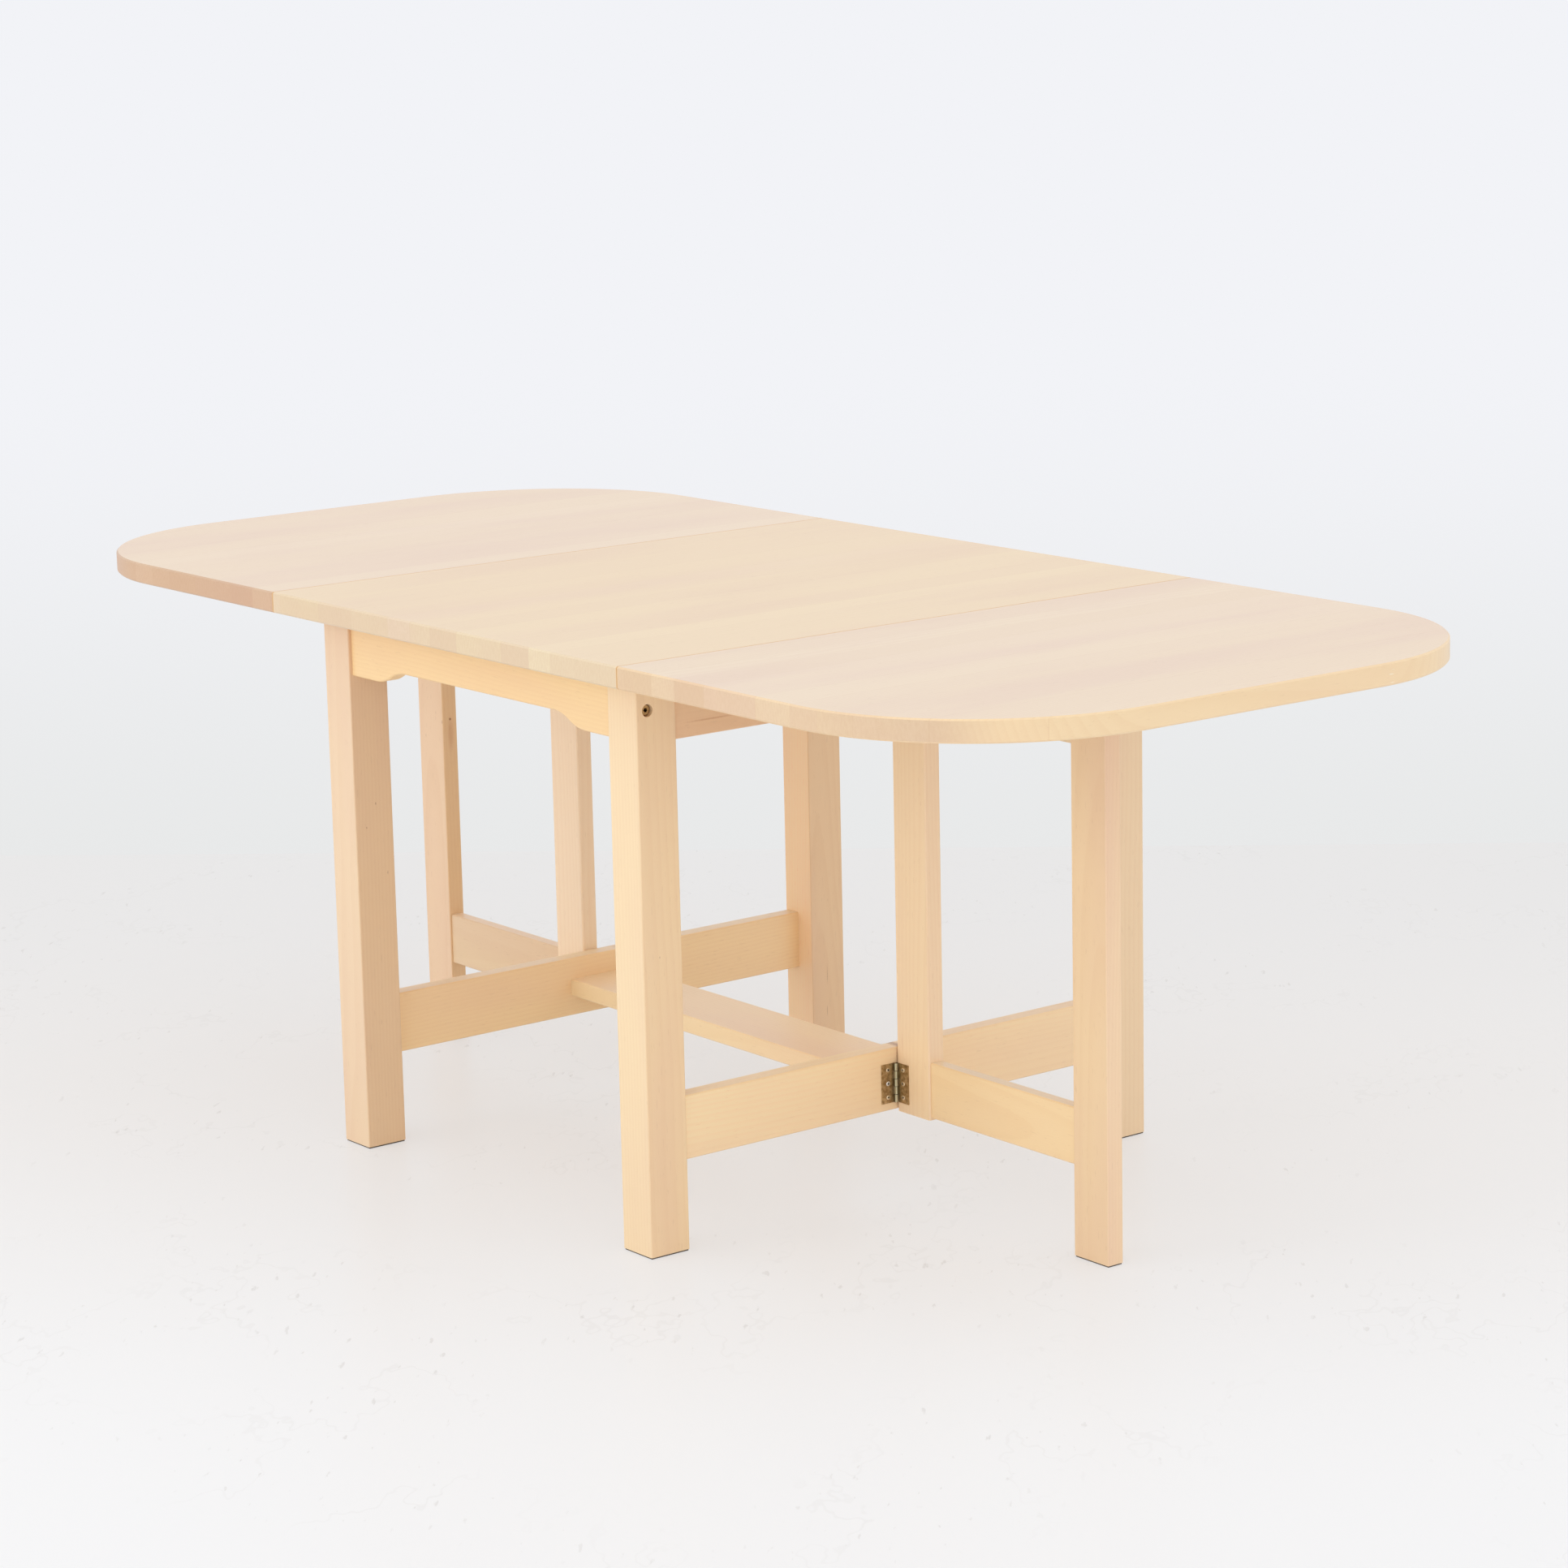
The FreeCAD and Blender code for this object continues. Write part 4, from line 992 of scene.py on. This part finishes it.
@dataclass
class WoodScrews:
    """Oval-head screws in every hinge plate, bracket and stop block."""

    hinge_pitch: float = 17.5
    hinge_heights: tuple[float, float] = (147.0, 662.0)
    frame_plate: tuple[float, float] = (336.2, -28.3)
    gate_plate: tuple[float, float] = (349.3, -15.2)
    seam_places: tuple[float, float, float] = (-285.0, 0.0, 285.0)
    seam_pitch: float = 21.0
    seam_lines: tuple[float, float] = (358.5, 391.5)
    under_top: float = 703.0
    bracket_places: tuple[tuple[float, float], ...] = ((200.0, -371.0), (311.0, 190.0))
    bracket_reach: float = 16.0
    bracket_gauge: float = 2.0
    block_middle: tuple[float, float, float] = (693.0, 20.3, 689.0)
    block_spread: float = 17.0
    head: ScrewHead = ScrewHead()

    def _piece(self, name: str, body: str, rows: Sequence[ScrewRow], finish: Finish) -> None:
        """Makes the screws of some rows as one piece on a body."""
        points, faces = screw_points(rows, self.head)
        sunk = self.head.sunk_faces(*self.head.surface())
        choice = np.tile(sunk, len(faces) // len(sunk))
        piece = new_piece(name, points, faces, (finish, RECESS_SHADOW), choice)
        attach(piece, body)

    def _hinge_rows(self, x: float, y: float, facing: tuple[float, float, float]) -> ScrewRow:
        """Three screws in each of a gate's two hinge plates."""
        heights = [
            middle + self.hinge_pitch * step for middle in self.hinge_heights for step in (-1, 0, 1)
        ]
        return ScrewRow(np.array([(x, y, z) for z in heights]), facing)

    def _seam_row(self, x: float) -> ScrewRow:
        """Two screws in each seam hinge's plate on one side of the seam."""
        middles = [
            (x, y + side * self.seam_pitch, self.under_top)
            for y in self.seam_places
            for side in (-1, 1)
        ]
        return ScrewRow(np.array(middles), (0.0, 0.0, -1.0))

    def _bracket_rows(self) -> list[ScrewRow]:
        """One screw up into the top and one into the apron for each bracket."""
        (long_x, long_y), (cross_x, cross_y) = self.bracket_places
        gauge, reach = self.bracket_gauge, self.bracket_reach
        into_top, into_side = self.under_top - gauge, self.under_top - reach
        rows = [
            ScrewRow(
                np.array([(side * long_x, long_y + reach, into_top) for side in (-1, 1)]),
                (0.0, 0.0, -1.0),
            ),
            ScrewRow(
                np.array([(side * long_x, long_y + gauge, into_side) for side in (-1, 1)]),
                (0.0, 1.0, 0.0),
            ),
            ScrewRow(
                np.array([(cross_x - reach, side * cross_y, into_top) for side in (-1, 1)]),
                (0.0, 0.0, -1.0),
            ),
            ScrewRow(
                np.array([(cross_x - gauge, side * cross_y, into_side) for side in (-1, 1)]),
                (-1.0, 0.0, 0.0),
            ),
        ]
        return [*rows, *(row.turned() for row in rows)]

    def build(self) -> None:
        """Makes every screw, by the body that it is driven into."""
        frame_row = self._hinge_rows(*self.frame_plate, (1.0, 0.0, 0.0))
        odd = ScrewRow(frame_row.middles[1:2], frame_row.facing)
        others = ScrewRow(np.delete(frame_row.middles, 1, axis=0), frame_row.facing)
        self._piece("gate_hinge_odd_screw", "root", [odd], SCREW_STEEL)
        self._piece("gate_hinge_frame_screws", "root", [others, frame_row.turned()], SCREW_BRASS)
        gate_row = self._hinge_rows(*self.gate_plate, (0.0, -1.0, 0.0))
        self._piece("gate_right_hinge_screws", "gate_right", [gate_row], SCREW_BRASS)
        self._piece("gate_left_hinge_screws", "gate_left", [gate_row.turned()], SCREW_BRASS)
        inner, outer = (self._seam_row(x) for x in self.seam_lines)
        self._piece("seam_hinge_centre_screws", "root", [inner, inner.turned()], SCREW_BRASS)
        self._piece("leaf_right_hinge_screws", "leaf_right", [outer], SCREW_BRASS)
        self._piece("leaf_left_hinge_screws", "leaf_left", [outer.turned()], SCREW_BRASS)
        x, y, z = self.block_middle
        block = ScrewRow(
            np.array([(x + side * self.block_spread, y, z) for side in (-1, 1)]),
            (0.0, 0.0, -1.0),
        )
        self._piece("stop_block_right_screws", "leaf_right", [block], SCREW_BRASS)
        self._piece("stop_block_left_screws", "leaf_left", [block.turned()], SCREW_BRASS)
        self._piece("top_bracket_screws", "root", self._bracket_rows(), SCREW_STEEL)


@dataclass(frozen=True)
class Viewpoint:
    """The camera: where it stands, where it looks and how it leans, in metres and degrees."""

    place: tuple[float, float, float] = (4.3482, -3.2904, 1.6049)
    heading: float = 142.224
    dip: float = 11.764
    lean: float = -1.251
    lens: float = 99.5
    sensor: float = 36.0

    def forward(self) -> Vector:
        """The way it looks along the floor."""
        heading = math.radians(self.heading)
        return Vector((math.cos(heading), math.sin(heading), 0))

    def build(self) -> None:
        """Makes the camera. Its level axes are mixed by the sine and cosine of its lean."""
        dip, lean = math.radians(self.dip), math.radians(self.lean)
        look = self.forward() * math.cos(dip) - Vector((0, 0, math.sin(dip)))
        level = look.cross(Vector((0, 0, 1))).normalized()
        upright = level.cross(look)
        right = level * math.cos(lean) + upright * math.sin(lean)
        up = upright * math.cos(lean) - level * math.sin(lean)
        axes = Matrix((right, up, -look)).transposed()
        data = bpy.data.cameras.new("viewpoint")
        data.lens, data.sensor_width = self.lens, self.sensor
        data.clip_start, data.clip_end = 0.05, 300
        camera = bpy.data.objects.new("viewpoint", data)
        camera.matrix_world = Matrix.Translation(self.place) @ axes.to_4x4()
        bpy.context.scene.collection.objects.link(camera)
        bpy.context.scene.camera = camera


@dataclass(frozen=True)
class PaleFloor(Finish):
    """A smooth pale floor that brightens away from the wall, with faint scuffs.

    It is clear from below, so that the underside of the table can be seen.
    """

    name: str = "pale_floor"
    tones: tuple[Colour, Colour, Colour] = (
        shade(232, 231, 231),
        shade(237, 235, 234),
        shade(244, 244, 245),
    )
    fades: tuple[tuple[float, float], tuple[float, float]] = ((0.2, 1.8), (1.4, 3.0))
    lit: float = 0.62
    sparse: Speckle = Speckle((2.3, 2.3, 2.3), 1, 0.46, 0.60)
    dash: Speckle = Speckle((26.0, 90.0, 1.0), 3, 0.66, 0.72)
    vein_width: tuple[float, float] = (0.002, 0.008)
    scuffed: float = 0.3
    scuff: Colour = shade(196, 192, 188)

    def surface(self, graph: Graph) -> Signal:
        """Partly its own light for the camera, so that shadows on it stay faint."""
        point = graph.place()
        from_wall = graph.parts(point)[0]
        colour, *further = self.tones
        for tone, fade in zip(further, self.fades, strict=True):
            colour = graph.blend(graph.rise(from_wall, *fade), colour, tone)
        sparse = self.sparse.share(graph, point)
        dash = self.dash.share(graph, point)
        vein = graph.maths("ABSOLUTE", graph.noise(point * (3.0, 4.6, 1.0), 4, 0.62) - 0.5)
        thin = (1.0 - graph.rise(vein, *self.vein_width)) * graph.noise(point * 9.0, 2)
        colour = graph.blend((dash + thin * 0.5) * sparse * self.scuffed, colour, self.scuff)
        ground = graph.node(
            "ShaderNodeBsdfPrincipled",
            sockets={"Base Color": colour, "Roughness": 0.32, "IOR": 1.4},
        )
        own = graph.node("ShaderNodeEmission", sockets={0: colour, 1: 1.0})
        camera = graph.node("ShaderNodeLightPath", output="Is Camera Ray")
        lit = graph.node("ShaderNodeMixShader", sockets={0: camera * self.lit, 1: ground, 2: own})
        below = graph.node("ShaderNodeNewGeometry", output="Backfacing")
        clear = graph.node("ShaderNodeBsdfTransparent")
        return graph.node("ShaderNodeMixShader", sockets={0: below, 1: lit, 2: clear})


@dataclass(frozen=True)
class PaleWall(Finish):
    """A bluish white wall that greys towards the floor. It is seen from its front only."""

    name: str = "pale_wall"
    low: Colour = shade(232, 233, 233)
    high: Colour = shade(242, 243, 247)
    fade: tuple[float, float] = (-0.1, 0.85)

    def surface(self, graph: Graph) -> Signal:
        """Its own light for what is seen, and nothing for other rays or from behind."""
        height = graph.parts(graph.place())[2]
        colour = graph.blend(graph.rise(height, *self.fade), self.low, self.high)
        front = 1.0 - graph.node("ShaderNodeNewGeometry", output="Backfacing")
        own = graph.node("ShaderNodeEmission", sockets={0: colour, 1: 1.0})
        clear = graph.node("ShaderNodeBsdfTransparent")
        share = graph.seen() * front
        return graph.node("ShaderNodeMixShader", sockets={0: share, 1: clear, 2: own})


@dataclass(frozen=True)
class Softbox:
    """A square soft lamp. Sizes and places are in metres."""

    name: str
    place: tuple[float, float, float]
    side: float
    watts: float

    def build(self, aim: Vector) -> None:
        """Makes the lamp, turned to its aim."""
        data = bpy.data.lights.new(self.name, "AREA")
        data.size, data.energy = self.side, self.watts
        lamp = bpy.data.objects.new(self.name, data)
        place = Vector(self.place)
        lamp.matrix_world = Matrix.Translation(place) @ (
            (aim - place).to_track_quat("-Z", "Y").to_matrix().to_4x4()
        )
        lamp.visible_camera = lamp.visible_glossy = False
        bpy.context.scene.collection.objects.link(lamp)


@dataclass
class Studio:
    """Floor, wall, sky light, lamps and camera."""

    viewpoint: Viewpoint = Viewpoint()
    wall_distance: float = 7.165
    wall_turn: float = 3.5
    reach: float = 40.0
    wall_height: float = 14.0
    sky: float = 1.055
    sky_seen: Colour = shade(242, 243, 247)
    lamps: tuple[Softbox, ...] = (Softbox("front_softbox", (-1.0, -5.0, 1.7), 2.6, 36.0),)
    aim: tuple[float, float, float] = (0.1, 0.0, 0.45)

    def _sheet(
        self,
        name: str,
        corner: Callable[[np.ndarray, np.ndarray], np.ndarray],
        finish: Finish,
        base: Matrix,
    ) -> None:
        """A plain sheet of the studio: a function of two shares from -1 to 1, placed by base."""
        across, along = np.meshgrid([-1.0, 1.0], [-1.0, 1.0])
        points = corner(across.ravel(), along.ravel())
        mesh = bpy.data.meshes.new(name)
        mesh.from_pydata(points.tolist(), [], [[0, 1, 3, 2]])
        mesh.materials.append(finish.material())
        sheet = bpy.data.objects.new(name, mesh)
        sheet.matrix_world = base
        bpy.context.scene.collection.objects.link(sheet)

    def build(self) -> None:
        """Builds the studio. Its sheets' own X axis points from the wall to the camera."""
        self.viewpoint.build()
        forward = self.viewpoint.forward()
        foot = Vector((self.viewpoint.place[0], self.viewpoint.place[1], 0))
        foot += forward * self.wall_distance
        towards = -forward
        sideways = Vector((0, 0, 1)).cross(towards)
        turn = Matrix((towards, sideways, Vector((0, 0, 1)))).transposed().to_4x4()
        turn = Matrix.Rotation(math.radians(-self.wall_turn), 4, "Z") @ turn
        base = Matrix.Translation(foot) @ turn
        reach, height = self.reach, self.wall_height
        self._sheet(
            "floor",
            lambda a, b: np.stack([a * reach, b * reach, 0 * a], -1),
            PaleFloor(),
            base,
        )
        self._sheet(
            "wall",
            lambda a, b: np.stack([0 * a, a * reach, (b + 1) / 2 * height], -1),
            PaleWall(),
            base,
        )
        self._light_sky()
        for lamp in self.lamps:
            lamp.build(Vector(self.aim))
        bpy.context.scene.view_settings.view_transform = "Standard"
        LOG.info("built the studio with %d lamps", len(self.lamps))

    def _light_sky(self) -> None:
        """An even sky: white light on the table, and the wall's own tone where it is seen."""
        world = bpy.data.worlds.new("studio_sky")
        world.use_nodes = True
        bpy.context.scene.world = world
        graph = Graph(world.node_tree)
        light = graph.node("ShaderNodeBackground", sockets={0: (1, 1, 1, 1), 1: self.sky})
        seen = graph.node("ShaderNodeBackground", sockets={0: self.sky_seen, 1: 1.0})
        mixed = graph.node("ShaderNodeMixShader", sockets={0: graph.seen(), 1: light, 2: seen})
        graph.finish(mixed, "ShaderNodeOutputWorld")


def main() -> None:
    """Builds the studio and dresses the table."""
    logging.basicConfig(level=logging.INFO, format="%(message)s")
    Studio().build()
    Top().build(first_number=1)
    FixedFrame().build(first_number=11)
    Gates().build(first_number=31)
    Fittings().build()
    Feet().build()
    WoodScrews().build()


if __name__ == "__main__":
    main()
